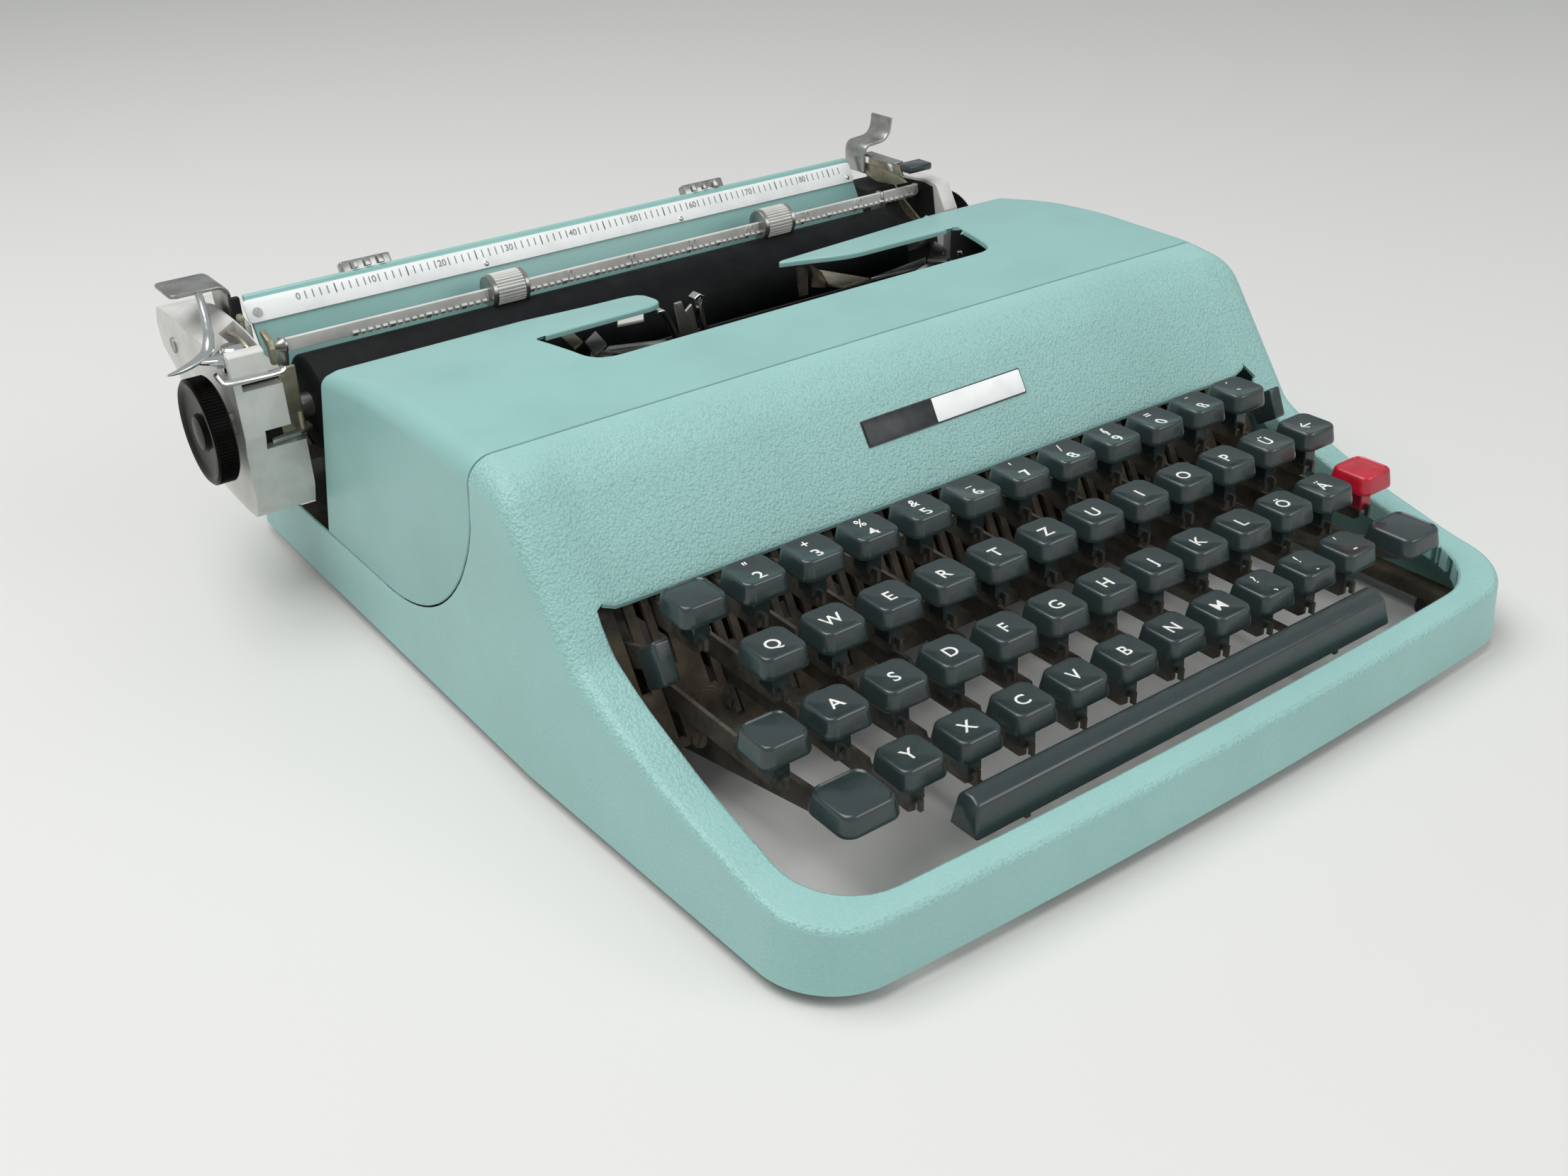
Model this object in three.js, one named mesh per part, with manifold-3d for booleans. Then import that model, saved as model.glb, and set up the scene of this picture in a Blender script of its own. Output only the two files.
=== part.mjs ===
// Portable typewriter: a flat, wedge-shaped case with an open key well, a lift-off top cover,
// 43 type keys on long flat levers, control keys, and a sliding carriage with its platen.
//
// Millimetres. X runs to the typist's right, Y from the front edge to the back, Z up from the
// surface the machine stands on. Shapes are laid out from the case's centre plane (X = 0) and
// front edge (Y = 0); the finished group is then moved so that its origin is the middle of the
// base of its bounding box.

import * as THREE from 'three';
import { mergeVertices } from 'three/addons/utils/BufferGeometryUtils.js';
import Module from 'manifold-3d';

const wasm = await Module();
wasm.setup();

// ---------------------------------------------------------------- driving dimensions

const CASE = {
  halfWidth: 144.5,
  depth: 335,
  base: 4,
  frontRadius: 21,
  rearRadius: 14,
  wall: 2,
  nose: 2.2,
  bow: 4.5,
  bowReach: 60,
  taper: 0.046,
  taperReach: 125,
  crown: 0.6,
};

// Height of the case's top surface along the centre plane, as corners [Y, Z, rounding].
const TOP_PROFILE = [
  [0, 21.4, 0],
  [28, 25.2, 12],
  [58, 32.2, 14],
  [86, 42.4, 12],
  [99, 49.6, 6],
  [129, 90.6, 12],
  [146, 93.6, 10],
  [188, 94.4, 20],
  [214, 92.4, 20],
  [241, 87.6, 0],
  [335, 84, 0],
];

const WELL = {
  halfWidth: 128.2,
  front: 9.4,
  rear: 107,
  frontRadius: 20,
  rearRadius: 3,
  flange: 8,
  rearFlangeLow: 58.4,
};

// The seam between case and cover, in side view: straight down, one long curve, straight back.
const SEAM = { y: 145.2, bendTop: 82, level: 25.8, bendEnd: 212, gap: 0.4 };

// Rear edge of the cover in side view, from above the top surface to below the seam.
const COVER_REAR = [[241, 100], [241.4, 87.4], [243.6, 85.6], [245.4, 82], [260, 22]];

// Opening over the type basket: a trapezoid that runs out at the back between two tongues.
// Its corners are [X, Y, rounding], from the front left one round to the blunt left tongue.
const WINDOW = [
  [-81, 180.4, 16], [77.5, 180.8, 14], [89.8, 213, 8], [40, 213, 14], [20.2, 227.4, 0], [21.6, 229.6, 0],
  [60, 235, 20], [101, 241.4, 0], [102, 262, 0], [-74, 262, 0], [-73, 241.4, 0], [-52, 237.6, 18],
  [-31.6, 236.4, 15], [-35.6, 214.2, 15], [-84.2, 213.8, 6],
];

const PITCH = 19.05;
const KEY_ROWS = {
  1: { y: 89.4, top: 66.3, firstX: -109.5 },
  2: { y: 68.4, top: 57.8, firstX: -109.5 + 0.5 * PITCH },
  3: { y: 49.2, top: 48.1, firstX: -109.5 + 0.75 * PITCH },
  4: { y: 32.0, top: 38.0, firstX: -109.5 + 1.25 * PITCH },
};
const TYPE_KEYS = {
  1: ['2', '3', '4', '5', '6', '7', '8', '9', '0', 'sharp_s', 'accent'],
  2: ['Q', 'W', 'E', 'R', 'T', 'Z', 'U', 'I', 'O', 'P', 'U_umlaut'],
  3: ['A', 'S', 'D', 'F', 'G', 'H', 'J', 'K', 'L', 'O_umlaut', 'A_umlaut'],
  4: ['Y', 'X', 'C', 'V', 'B', 'N', 'M', 'comma', 'period', 'hyphen'],
};
const CAP = { bottom: 15.2, top: 13, height: 6, dish: 0.9, corner: 3.2 };
const LEVER = { thick: 1.2, blade: 7, drop: 11, bend: 124, neck: 5, play: 0.6 };
const FULCRUM = { y: 205, z: 30, rod: 2.5, hole: 3.6, eye: 6 };
const KEY_TRAVEL = 11;

// The leaning plate whose slots guide the levers, as [Y, Z] of its foot and head.
const COMB = { foot: [90, 20], head: [112.4, 58.5], slotTop: 56.5, thick: 1.5, halfWidth: 127 };
const combY = (z) => THREE.MathUtils.mapLinear(z, COMB.foot[1], COMB.head[1], COMB.foot[0], COMB.head[0]);
const SIDE_PLATE = { x: 125.5, thick: 2 };
const SHIFT_SHAFT = { y: 190, z: 14, radius: 3 };
const BAR_PIVOT = { y: 150, z: 13, radius: 2.5, halfLength: 74.8 };

const PLATEN = { y: 267, z: 67.9, radius: 16, from: -139.3, to: 100.5, shaft: 4 };
const KNOB = { radius: 17.1, left: [-176.2, -169], right: [129, 136.2] };
const CASTINGS = { left: [-165, -145.5], right: [121.5, 128.4], rightInner: [105.5, 121.9] };
const BAIL = { y: 272, z: 89.3, from: -142.6, to: 121, pivotY: 277.5, pivotZ: 73, rollers: [-63.4, 50] };

const COLOURS = {
  paint: { color: 0x8fc4b9, roughness: 0.45, metalness: 0 },
  keys: { color: 0x39464a, roughness: 0.3, metalness: 0 },
  red: { color: 0xc02033, roughness: 0.3, metalness: 0 },
  steel: { color: 0x4a4640, roughness: 0.6, metalness: 0.6 },
  silver: { color: 0xb4b2ae, roughness: 0.4, metalness: 0.6 },
  chrome: { color: 0xd8d8d8, roughness: 0.15, metalness: 1 },
  rubber: { color: 0x26272a, roughness: 0.7, metalness: 0 },
};

// ---------------------------------------------------------------- solids

// A closed mesh as a solid that can be cut and joined.
function toSolid(geometry) {
  const bare = geometry.clone();
  bare.deleteAttribute('normal');
  bare.deleteAttribute('uv');
  const merged = mergeVertices(bare, 1e-4);
  return new wasm.Manifold(new wasm.Mesh({
    numProp: 3,
    vertProperties: new Float32Array(merged.attributes.position.array),
    triVerts: new Uint32Array(merged.index.array),
  }));
}

function toGeometry(solid) {
  const mesh = solid.getMesh();
  const geometry = new THREE.BufferGeometry();
  geometry.setAttribute('position', new THREE.BufferAttribute(mesh.vertProperties, 3));
  geometry.setIndex(new THREE.BufferAttribute(mesh.triVerts, 1));
  geometry.computeVertexNormals();
  return geometry;
}

const join = (solids) => solids.reduce((whole, piece) => whole.add(piece));
const cut = (solid, tools) => tools.reduce((whole, tool) => whole.subtract(tool), solid);

function boxSolid([x0, x1], [y0, y1], [z0, z1]) {
  const geometry = new THREE.BoxGeometry(x1 - x0, y1 - y0, z1 - z0);
  geometry.translate((x0 + x1) / 2, (y0 + y1) / 2, (z0 + z1) / 2);
  return toSolid(geometry);
}

function indexedGeometry(points, index) {
  const geometry = new THREE.BufferGeometry();
  geometry.setAttribute('position', new THREE.BufferAttribute(new Float32Array(points.flat()), 3));
  geometry.setIndex(index);
  return geometry;
}

function shapeOf(points) {
  return new THREE.Shape(points.map(([a, b]) => new THREE.Vector2(a, b)));
}

const extrude = (points, depth) =>
  new THREE.ExtrudeGeometry(shapeOf(points), { depth, bevelEnabled: false, steps: 1 });

// Plan outline [X, Y] raised from one height to another.
function plateFlat(points, [z0, z1]) {
  const geometry = extrude(points, z1 - z0);
  geometry.translate(0, 0, z0);
  return toSolid(geometry);
}

// Side outline [Y, Z] drawn out along X.
function plateSide(points, [x0, x1]) {
  const geometry = extrude(points, x1 - x0);
  const toSideView = new THREE.Matrix4().makeBasis(
    new THREE.Vector3(0, 1, 0), new THREE.Vector3(0, 0, 1), new THREE.Vector3(1, 0, 0));
  geometry.applyMatrix4(toSideView);
  geometry.translate(x0, 0, 0);
  return toSolid(geometry);
}

// Front outline [X, Z] drawn out along Y.
function plateFront(points, [y0, y1]) {
  const geometry = extrude(points, y1 - y0);
  geometry.rotateX(Math.PI / 2);
  geometry.translate(0, y1, 0);
  return toSolid(geometry);
}

function rodAlongX(radius, [x0, x1], y, z, sides = 12) {
  const geometry = new THREE.CylinderGeometry(radius, radius, x1 - x0, sides);
  geometry.rotateZ(Math.PI / 2);
  geometry.translate((x0 + x1) / 2, y, z);
  return toSolid(geometry);
}

function arc(centreA, centreB, radius, fromDegrees, toDegrees, steps) {
  return Array.from({ length: steps + 1 }, (_, i) => {
    const angle = THREE.MathUtils.degToRad(fromDegrees + (toDegrees - fromDegrees) * i / steps);
    return [centreA + radius * Math.cos(angle), centreB + radius * Math.sin(angle)];
  });
}

// ---------------------------------------------------------------- case and cover

// A run of straight lines with its corners rounded off by short curves.
function roundedLine(corners, steps) {
  const points = [];
  corners.forEach(([a, b, rounding], i) => {
    if (!rounding) {
      points.push([a, b]);
      return;
    }
    const corner = new THREE.Vector2(a, b);
    const towards = ([x, y]) => new THREE.Vector2(x, y).sub(corner).setLength(rounding / 2);
    const before = towards(corners.at(i - 1));
    const after = towards(corners[(i + 1) % corners.length]);
    const curve = new THREE.QuadraticBezierCurve(before.add(corner), corner, after.add(corner));
    points.push(...curve.getPoints(steps).map((p) => [p.x, p.y]));
  });
  return points;
}

const CENTRE_LINE = roundedLine(TOP_PROFILE, 2);

function profileHeight(y) {
  const i = Math.max(1, CENTRE_LINE.findIndex(([py]) => py >= y));
  const [y0, z0] = CENTRE_LINE[i - 1];
  const [y1, z1] = CENTRE_LINE[i];
  return THREE.MathUtils.mapLinear(y, y0, y1, z0, z1);
}

const fade = (y, y0, y1) => THREE.MathUtils.smoothstep(y, y0, y1);

// Distance of a plan point inside the case's outline, drawn in by an inset.
function depthInside(x, y, inset) {
  const radius = (y < CASE.depth / 2 ? CASE.frontRadius : CASE.rearRadius) - inset;
  const half = [CASE.halfWidth - inset, CASE.depth / 2 - inset];
  const q = [Math.abs(x) - half[0] + radius, Math.abs(y - CASE.depth / 2) - half[1] + radius];
  const outside = Math.hypot(Math.max(q[0], 0), Math.max(q[1], 0));
  return radius - outside - Math.min(Math.max(q[0], q[1]), 0);
}

// Half the case's width at a station, where the rounded corners narrow it.
function halfWidthAt(y, inset) {
  const front = CASE.frontRadius - inset;
  const rear = CASE.rearRadius - inset;
  const [radius, run] = y < CASE.depth / 2 ? [front, y - inset] : [rear, CASE.depth - inset - y];
  const short = Math.max(radius - run, 0);
  return CASE.halfWidth - inset - radius + Math.sqrt(Math.max(radius ** 2 - short ** 2, 0));
}

// Height of the outer skin: the top surface, its crown, and the rounded shoulder to the walls.
function skinHeight(x, y, inset, drop, base) {
  const crown = CASE.crown * fade(y, 100, 146) * (x / 135) ** 2;
  const top = profileHeight(y) - crown - drop;
  const shoulder = 1.6 + 6 * fade(y, 40, 150) - 2.2 * fade(y, 170, 240);
  const lean = THREE.MathUtils.lerp(1.4, 2.2, fade(y, 0, 60));
  const depth = depthInside(x, y, inset);
  if (depth < 1e-6) return base;
  if (depth < lean) return THREE.MathUtils.mapLinear(depth, 0, lean, base, top - shoulder);
  const reach = Math.max(shoulder - (depth - lean), 0);
  return top - shoulder + Math.sqrt(shoulder ** 2 - reach ** 2);
}

// The front edge bows forward in the middle, and the sides draw in towards the front.
const bowed = (x, y) =>
  y + (CASE.bow * (x / CASE.halfWidth) ** 2 - CASE.nose) * Math.max(0, 1 - y / CASE.bowReach);
const drawnIn = (x, y) => x * (1 - CASE.taper * Math.max(0, CASE.taperReach - y) / CASE.halfWidth);

const SIDE_STEPS = [0, 2.2, 3.2, 4.8, 7, 9.2, 14, 40, 92];

function stationsAcross(half) {
  const left = SIDE_STEPS.map((step) => -half + step * Math.min(1, half / CASE.halfWidth));
  return [...left, 0, ...left.slice().reverse().map((x) => -x)];
}

// A closed block under the case's skin, as a grid of top points over a flat base.
function skinBlock(inset, drop, base) {
  const ends = [0, 1, 2.2, 4.4, 8, 14];
  const middle = CENTRE_LINE.map(([y]) => y).filter((y) => y > 16 && y < CASE.depth - 16);
  const rearEnds = [12, 6, 3, 0].map((e) => CASE.depth - inset - e);
  const rows = [...ends.map((e) => e + inset), ...middle, ...rearEnds];
  const columns = stationsAcross(1).length;
  const points = [];
  const addPoint = (x, y, z) => {
    points.push([drawnIn(x, y), bowed(x, y), z]);
    return points.length - 1;
  };
  const grid = rows.map((y, r) => stationsAcross(halfWidthAt(y, inset)).map((x, c) => {
    const rim = r === 0 || r === rows.length - 1 || c === 0 || c === columns - 1;
    const low = addPoint(x, y, base);
    const high = rim ? low : addPoint(x, y, skinHeight(x, y, inset, drop, base));
    return { low, high };
  }));
  const index = [];
  const quad = (a, b, c, d) => index.push(a, b, c, a, c, d);
  for (let r = 0; r + 1 < rows.length; r += 1) {
    for (let c = 0; c + 1 < columns; c += 1) {
      const [a, b, d, e] = [grid[r][c], grid[r][c + 1], grid[r + 1][c + 1], grid[r + 1][c]];
      quad(a.high, b.high, d.high, e.high);
      quad(a.low, e.low, d.low, b.low);
    }
  }
  return toSolid(indexedGeometry(points, index));
}

// Plan outline of the key well, grown outwards by a margin.
function wellOutline(grow) {
  const half = WELL.halfWidth + grow;
  const [front, rear] = [WELL.front - grow, WELL.rear + grow];
  const [rf, rr] = [WELL.frontRadius + grow, WELL.rearRadius];
  const frontEdge = [-0.75, -0.5, -0.25, 0, 0.25, 0.5, 0.75].map((part) => [part * (half - rf), front]);
  return [
    ...arc(-half + rf, front + rf, rf, 180, 270, 5),
    ...frontEdge,
    ...arc(half - rf, front + rf, rf, 270, 360, 5),
    ...arc(half - rr, rear - rr, rr, 0, 90, 2),
    ...arc(-half + rr, rear - rr, rr, 90, 180, 2),
  ].map(([x, y]) => [x, bowed(x, y)]);
}

const ALL_HEIGHTS = [-20, 140];

function caseShell() {
  const outer = skinBlock(0, 0, CASE.base);
  const inner = skinBlock(CASE.wall, CASE.wall, CASE.base - 12);
  const well = plateFlat(wellOutline(0), ALL_HEIGHTS);
  const collar = plateFlat(wellOutline(CASE.wall), ALL_HEIGHTS);
  const skinBand = outer.subtract(outer.translate([0, 0, -WELL.flange]));
  const acrossWell = [-WELL.halfWidth, WELL.halfWidth];
  const overLevers = boxSolid(acrossWell, [WELL.rear - 8, WELL.rear + 6], [0, WELL.rearFlangeLow]);
  const flange = skinBand.intersect(collar).subtract(overLevers);
  return outer.subtract(inner).add(flange).subtract(well);
}

// Side view of everything behind and above the seam, set in by half the gap.
function coverRegion(set) {
  const start = new THREE.Vector2(SEAM.y + set, SEAM.bendTop);
  const end = new THREE.Vector2(SEAM.bendEnd, SEAM.level + set);
  const curve = new THREE.CubicBezierCurve(
    start, new THREE.Vector2(start.x, 62), new THREE.Vector2(168 + set, end.y), end);
  const seam = curve.getPoints(8).map((p) => [p.x, p.y]);
  return plateSide([[start.x, 150], ...seam, [400, end.y], [400, 150]], [-200, 200]);
}

function topCover(shell) {
  const behind = plateSide([...COVER_REAR, [400, 20], [400, 100]].reverse(), [-200, 200]);
  const opening = plateFlat(roundedLine(WINDOW, 3), [70, 120]);
  return cut(shell.intersect(coverRegion(SEAM.gap / 2)), [behind, opening]);
}

// ---------------------------------------------------------------- keys and levers

// Square with rounded corners, as a ring of points at one height.
function capRing(side, corner, z, depthRatio = 0.95) {
  const half = side / 2 - corner;
  const quarter = (sx, sy, from) => arc(sx * half, sy * half * depthRatio, corner, from, from + 90, 2);
  return [
    ...quarter(1, 1, 0), ...quarter(-1, 1, 90), ...quarter(-1, -1, 180), ...quarter(1, -1, 270),
  ].map(([x, y]) => [x, y, z]);
}

// Closed skin through a stack of rings, ended by a centre point above and below.
function stackRings(rings, bottomPoint, topPoint) {
  const sides = rings[0].length;
  const points = [...rings.flat(), bottomPoint, topPoint];
  const [bottom, top] = [points.length - 2, points.length - 1];
  const last = (rings.length - 1) * sides;
  const index = [];
  for (let i = 0; i < sides; i += 1) {
    const next = (i + 1) % sides;
    index.push(bottom, next, i, top, last + i, last + next);
    for (let r = 0; r + 1 < rings.length; r += 1) {
      const [a, b] = [r * sides + i, r * sides + next];
      index.push(a, b, b + sides, a, b + sides, a + sides);
    }
  }
  return indexedGeometry(points, index);
}

function capSolid(x, y, top, size = 1, dish = CAP.dish) {
  const rings = [
    capRing(CAP.bottom * size, CAP.corner, top - CAP.height),
    capRing(CAP.top * size, CAP.corner - 0.8, top),
  ];
  const geometry = stackRings(rings, [0, 0, top - CAP.height], [0, 0, top - dish]);
  geometry.translate(x, y, 0);
  return toSolid(geometry);
}

const octagon = (y, z, radius, from = 22.5, to = 337.5) => arc(y, z, radius, from, to, (to - from) / 45);

// Flat lever in side view: level from the key back to the comb, then down to its eye.
function leverOutline(frontY, topZ, fulcrum) {
  const low = topZ - LEVER.blade;
  const underEye = fulcrum.z - fulcrum.eye + (low < fulcrum.z ? 0.3 : -0.3);
  const eye = arc(fulcrum.y, fulcrum.z, fulcrum.eye, -90, 90, 4);
  return [
    [frontY, topZ], [frontY, low + 1.5], [frontY + 2, low], [LEVER.bend, low],
    [fulcrum.y - fulcrum.eye * 0.6, underEye],
    ...eye,
    [LEVER.bend + 4, topZ],
  ];
}

function leverSolid(x, frontY, topZ, fulcrum, thick = LEVER.thick) {
  const span = [x - thick / 2, x + thick / 2];
  const blade = plateSide(leverOutline(frontY, topZ, fulcrum), span);
  const hole = plateSide(octagon(fulcrum.y, fulcrum.z, fulcrum.hole), [x - thick, x + thick]);
  return blade.subtract(hole);
}

function neckSolid(x, y, capBottom, leverTop) {
  const half = LEVER.neck / 2;
  return boxSolid([x - half, x + half], [y - 3.2, y + 3.2], [leverTop - 2, capBottom + 0.5]);
}

function keySolid(x, row, size = 1, dish = CAP.dish) {
  const { y, top } = KEY_ROWS[row];
  const leverTop = top - LEVER.drop;
  return join([
    capSolid(x, y, top, size, dish),
    neckSolid(x, y, top - CAP.height, leverTop),
    leverSolid(x, y - 2, leverTop, FULCRUM),
  ]);
}

const keyX = (row, index) => KEY_ROWS[row].firstX + index * PITCH;

// ---------------------------------------------------------------- space bar and shift keys

const SPACE_BAR = { halfLength: 82, front: 11.2, rear: 21.2, top: 31, height: 10, armX: 61.5 };

function spaceBarSolid() {
  const s = SPACE_BAR;
  const low = s.top - s.height;
  const section = [
    [s.front, low], [s.rear, low], [s.rear - 1, s.top - 1.6],
    [s.rear - 2.4, s.top], [s.front + 4.6, s.top], [s.front + 2, s.top - 1.4],
  ];
  const bar = plateSide(section, [-s.halfLength, s.halfLength]);
  const arm = (x) => {
    const blade = plateSide([
      [14, low + 1], [14, low - 4], [BAR_PIVOT.y, BAR_PIVOT.z - 4.5],
      [BAR_PIVOT.y + 5, BAR_PIVOT.z], [BAR_PIVOT.y, BAR_PIVOT.z + 4.5], [26, low - 3.2],
      [19, low + 1],
    ], [x - 0.8, x + 0.8]);
    const eye = octagon(BAR_PIVOT.y, BAR_PIVOT.z, BAR_PIVOT.radius + 0.9);
    return blade.subtract(plateSide(eye, [x - 2, x + 2]));
  };
  return join([bar, arm(-s.armX), arm(s.armX)]);
}

const SHIFT_KEYS = { caps: [-105.2, 111.2], arms: [-106, 108], y: 29.6, size: 1.2, top: 36.4 };

function shiftKeysSolid() {
  const s = SHIFT_KEYS;
  const pieces = [rodAlongX(SHIFT_SHAFT.radius, [-122, 122], SHIFT_SHAFT.y, SHIFT_SHAFT.z)];
  s.caps.forEach((x, i) => {
    const armTop = s.top - CAP.height - 0.3;
    const neck = [Math.min(x - 3, s.arms[i]), Math.max(x + 3, s.arms[i])];
    pieces.push(capSolid(x, s.y, s.top, s.size, 0));
    pieces.push(boxSolid(neck, [s.y - 3, s.y + 4], [armTop - 3, armTop]));
    pieces.push(boxSolid([x - 3, x + 3], [s.y - 3, s.y + 3], [armTop - 1, armTop + 0.8]));
    pieces.push(plateSide([
      [s.y + 30, armTop - 3], [s.y - 3, armTop], [s.y - 3, armTop - 3], [s.y + 14, armTop - 8], [104, 9],
      [SHIFT_SHAFT.y, SHIFT_SHAFT.z - 4.5],
      [SHIFT_SHAFT.y + 5, SHIFT_SHAFT.z], [SHIFT_SHAFT.y, SHIFT_SHAFT.z + 4.5], [112, 18],
    ], [s.arms[i] - 1, s.arms[i] + 1]));
  });
  return join(pieces);
}

// ---------------------------------------------------------------- side levers

// A finger paddle on a short lever that turns on a stud behind the comb.
const PADDLES = {
  left: { x: -120, y: 89, z: 49, size: 1 },
  right: { x: 119, y: 88.5, z: 55, size: 0.82 },
  pivotY: 128,
  pivotZ: 36,
  thick: 5,
};

function paddleSolid({ x, y, z, size }) {
  const half = PADDLES.thick / 2;
  const pad = plateSide([
    [-4.4, -3.2], [-3.6, -4.6], [3.2, -9], [4.8, -8.8], [9.4, -0.6], [9, 1], [1.6, 6.8], [0, 6.4],
  ].map(([dy, dz]) => [y + dy * size, z + dz * size]), [x - half, x + half]);
  const arm = plateSide([
    [y + 2, z - 3], [y + 2, z + 3], [PADDLES.pivotY - 3, PADDLES.pivotZ + 5],
    [PADDLES.pivotY + 4, PADDLES.pivotZ],
    [PADDLES.pivotY - 2, PADDLES.pivotZ - 5],
  ], [x - 0.7, x + 0.7]);
  return join([pad, arm]);
}

// ---------------------------------------------------------------- chassis

function combSolid() {
  const { foot, head, thick, halfWidth } = COMB;
  const back = thick * Math.hypot(head[0] - foot[0], head[1] - foot[1]) / (head[1] - foot[1]);
  const plate = plateSide([
    foot, [foot[0] + back, foot[1]], [head[0] + back, head[1]], head,
  ], [-halfWidth, halfWidth]);
  const slot = (x, heights, width) => {
    return boxSolid([x - width / 2, x + width / 2], [foot[0] - 2, head[0] + 4], heights);
  };
  const width = LEVER.thick + 2 * LEVER.play;
  const slots = [];
  for (const row of [1, 2, 3, 4]) {
    const { y, top } = KEY_ROWS[row];
    const leverTop = top - LEVER.drop;
    const fall = KEY_TRAVEL * (FULCRUM.y - combY(leverTop)) / (FULCRUM.y - y);
    const [first, count] = { 1: [0, 12], 2: [0, 12], 3: [-1, 13], 4: [0, 10] }[row];
    for (let i = 0; i < count; i += 1) {
      slots.push(slot(keyX(row, first + i), [leverTop - LEVER.blade - fall - 1, COMB.slotTop], width));
    }
  }
  for (const x of SHIFT_KEYS.arms) slots.push(slot(x, [foot[1] - 1, 24], 3.4));
  for (const { x } of [PADDLES.left, PADDLES.right]) slots.push(slot(x, [34, COMB.slotTop], 3));
  return cut(plate, slots);
}

function sidePlateSolid(side) {
  const [a, b] = [SIDE_PLATE.x * side, (SIDE_PLATE.x + SIDE_PLATE.thick) * side];
  return plateSide([
    [COMB.foot[0] + 1, COMB.foot[1]], [118, 6], [302, 6], [302, 33], [250, 33], [243, 40], [243, 57],
    [COMB.head[0] + 1, COMB.head[1]],
  ], [Math.min(a, b), Math.max(a, b)]);
}

// Bracket that carries one end of the space bar's rod, between two levers.
function barBracketSolid(side) {
  const [a, b] = [(BAR_PIVOT.halfLength - 2) * side, BAR_PIVOT.halfLength * side];
  const { y, z } = BAR_PIVOT;
  return plateSide([
    [combY(37) + 0.8, 37], [y - 4, z - 4], [y + 4, z - 4], [y + 4, z + 4], [combY(44) + 0.8, 44],
  ], [Math.min(a, b), Math.max(a, b)]);
}

function segmentSolid() {
  const ring = [...arc(0, 93, 46, 200, 340, 10), ...arc(0, 93, 37, 340, 200, 10)];
  return plateFront(ring, [170, 182]);
}

function chassisSolid() {
  const halfWidth = SIDE_PLATE.x + 1;
  const pieces = [
    combSolid(), sidePlateSolid(-1), sidePlateSolid(1), segmentSolid(),
    barBracketSolid(-1), barBracketSolid(1),
    rodAlongX(FULCRUM.rod, [-halfWidth, halfWidth], FULCRUM.y, FULCRUM.z, 8),
    rodAlongX(BAR_PIVOT.radius, [-BAR_PIVOT.halfLength, BAR_PIVOT.halfLength], BAR_PIVOT.y, BAR_PIVOT.z, 8),
    boxSolid([-halfWidth, halfWidth], [172, 180], [46.5, 52]),
    boxSolid([-halfWidth, halfWidth], [292, 302], [26, 36]),
  ];
  for (const side of [-1, 1]) {
    const span = (a, b) => [Math.min(a * side, b * side), Math.max(a * side, b * side)];
    pieces.push(boxSolid(span(126.5, 133.5), [20, 318], [5, 9]));
    for (const y of [160, 296]) pieces.push(boxSolid(span(133, 141.4), [y, y + 14], [5, 9]));
    for (const [x, y] of [[131, 26], [134.5, 314]]) {
      const foot = new THREE.CylinderGeometry(5, 5.5, 5.5, 12);
      foot.rotateX(Math.PI / 2);
      foot.translate(x * side, y, 2.75);
      pieces.push(toSolid(foot));
    }
  }
  return join(pieces);
}

// ---------------------------------------------------------------- carriage

const LEFT_CASTING = [
  [257.5, 84], [256.6, 65.5], [258, 45], [260.6, 37.4], [272, 36.6], [291, 37.6], [305, 56], [319, 71],
  [329, 76], [330.5, 84], [327, 90.5], [308, 91.5], [292, 89], [284, 85.6],
];
const RIGHT_CASTING = [
  [254.8, 81.6], [255.4, 65.5], [258, 45], [260.6, 37.4], [272, 36.6], [291, 37.6], [303, 50], [304, 80],
  [300, 90], [268, 92], [260.6, 91.2], [259.4, 90.2],
];
const RIGHT_INNER_BLOCK = [
  [262, 60], [262, 40], [291, 38], [303, 50], [304, 80], [300, 87], [284, 87], [281, 80], [276, 76],
  [266, 73],
];

function castingSolid(outline, [x0, x1]) {
  const bore = rodAlongX(5, [x0 - 1, x1 + 1], PLATEN.y, PLATEN.z, 16);
  return plateSide(outline, [x0, x1]).subtract(bore);
}

// Hollow block on top of the left casting, its outer edge sloped down, with room for the lever's stud.
const LEFT_BLOCK = {
  x: [-164.8, -153.5],
  side: [
    [258, 84], [258.2, 92.2], [260, 93], [272, 94.8], [282, 95.6], [300, 95.6], [312, 93.4], [327, 89.8],
  ],
  hollow: [[-159.6, -153], [261.5, 281], [88, 99]],
  stud: [[-166, -155.8], [261.5, 271.6], [84.9, 99]],
  slope: [[-166, 89.2], [-153.5, 96], [-153.5, 100], [-166, 100]],
};
const LINE_SPACE_GAP = [
  [-158.4, 60.4], [-145, 60.4], [-145, 84.8], [-149.9, 84.8], [-149.9, 67.2], [-158.4, 67.2],
];

function leftCastingSolid() {
  const { x, side, hollow, stud, slope } = LEFT_BLOCK;
  const top = plateSide([...side].reverse(), x);
  const whole = castingSolid(LEFT_CASTING, CASTINGS.left).add(top);
  return cut(whole, [
    boxSolid(...hollow), boxSolid(...stud), plateFront(slope, [271, 335]),
    plateFront(LINE_SPACE_GAP, [250, 262.3]), boxSolid([-162.5, -149], [250, 262], [81.6, 83.8]),
    boxSolid([-153.3, -145], [262.3, 292], [81, 99]),
  ]);
}

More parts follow.
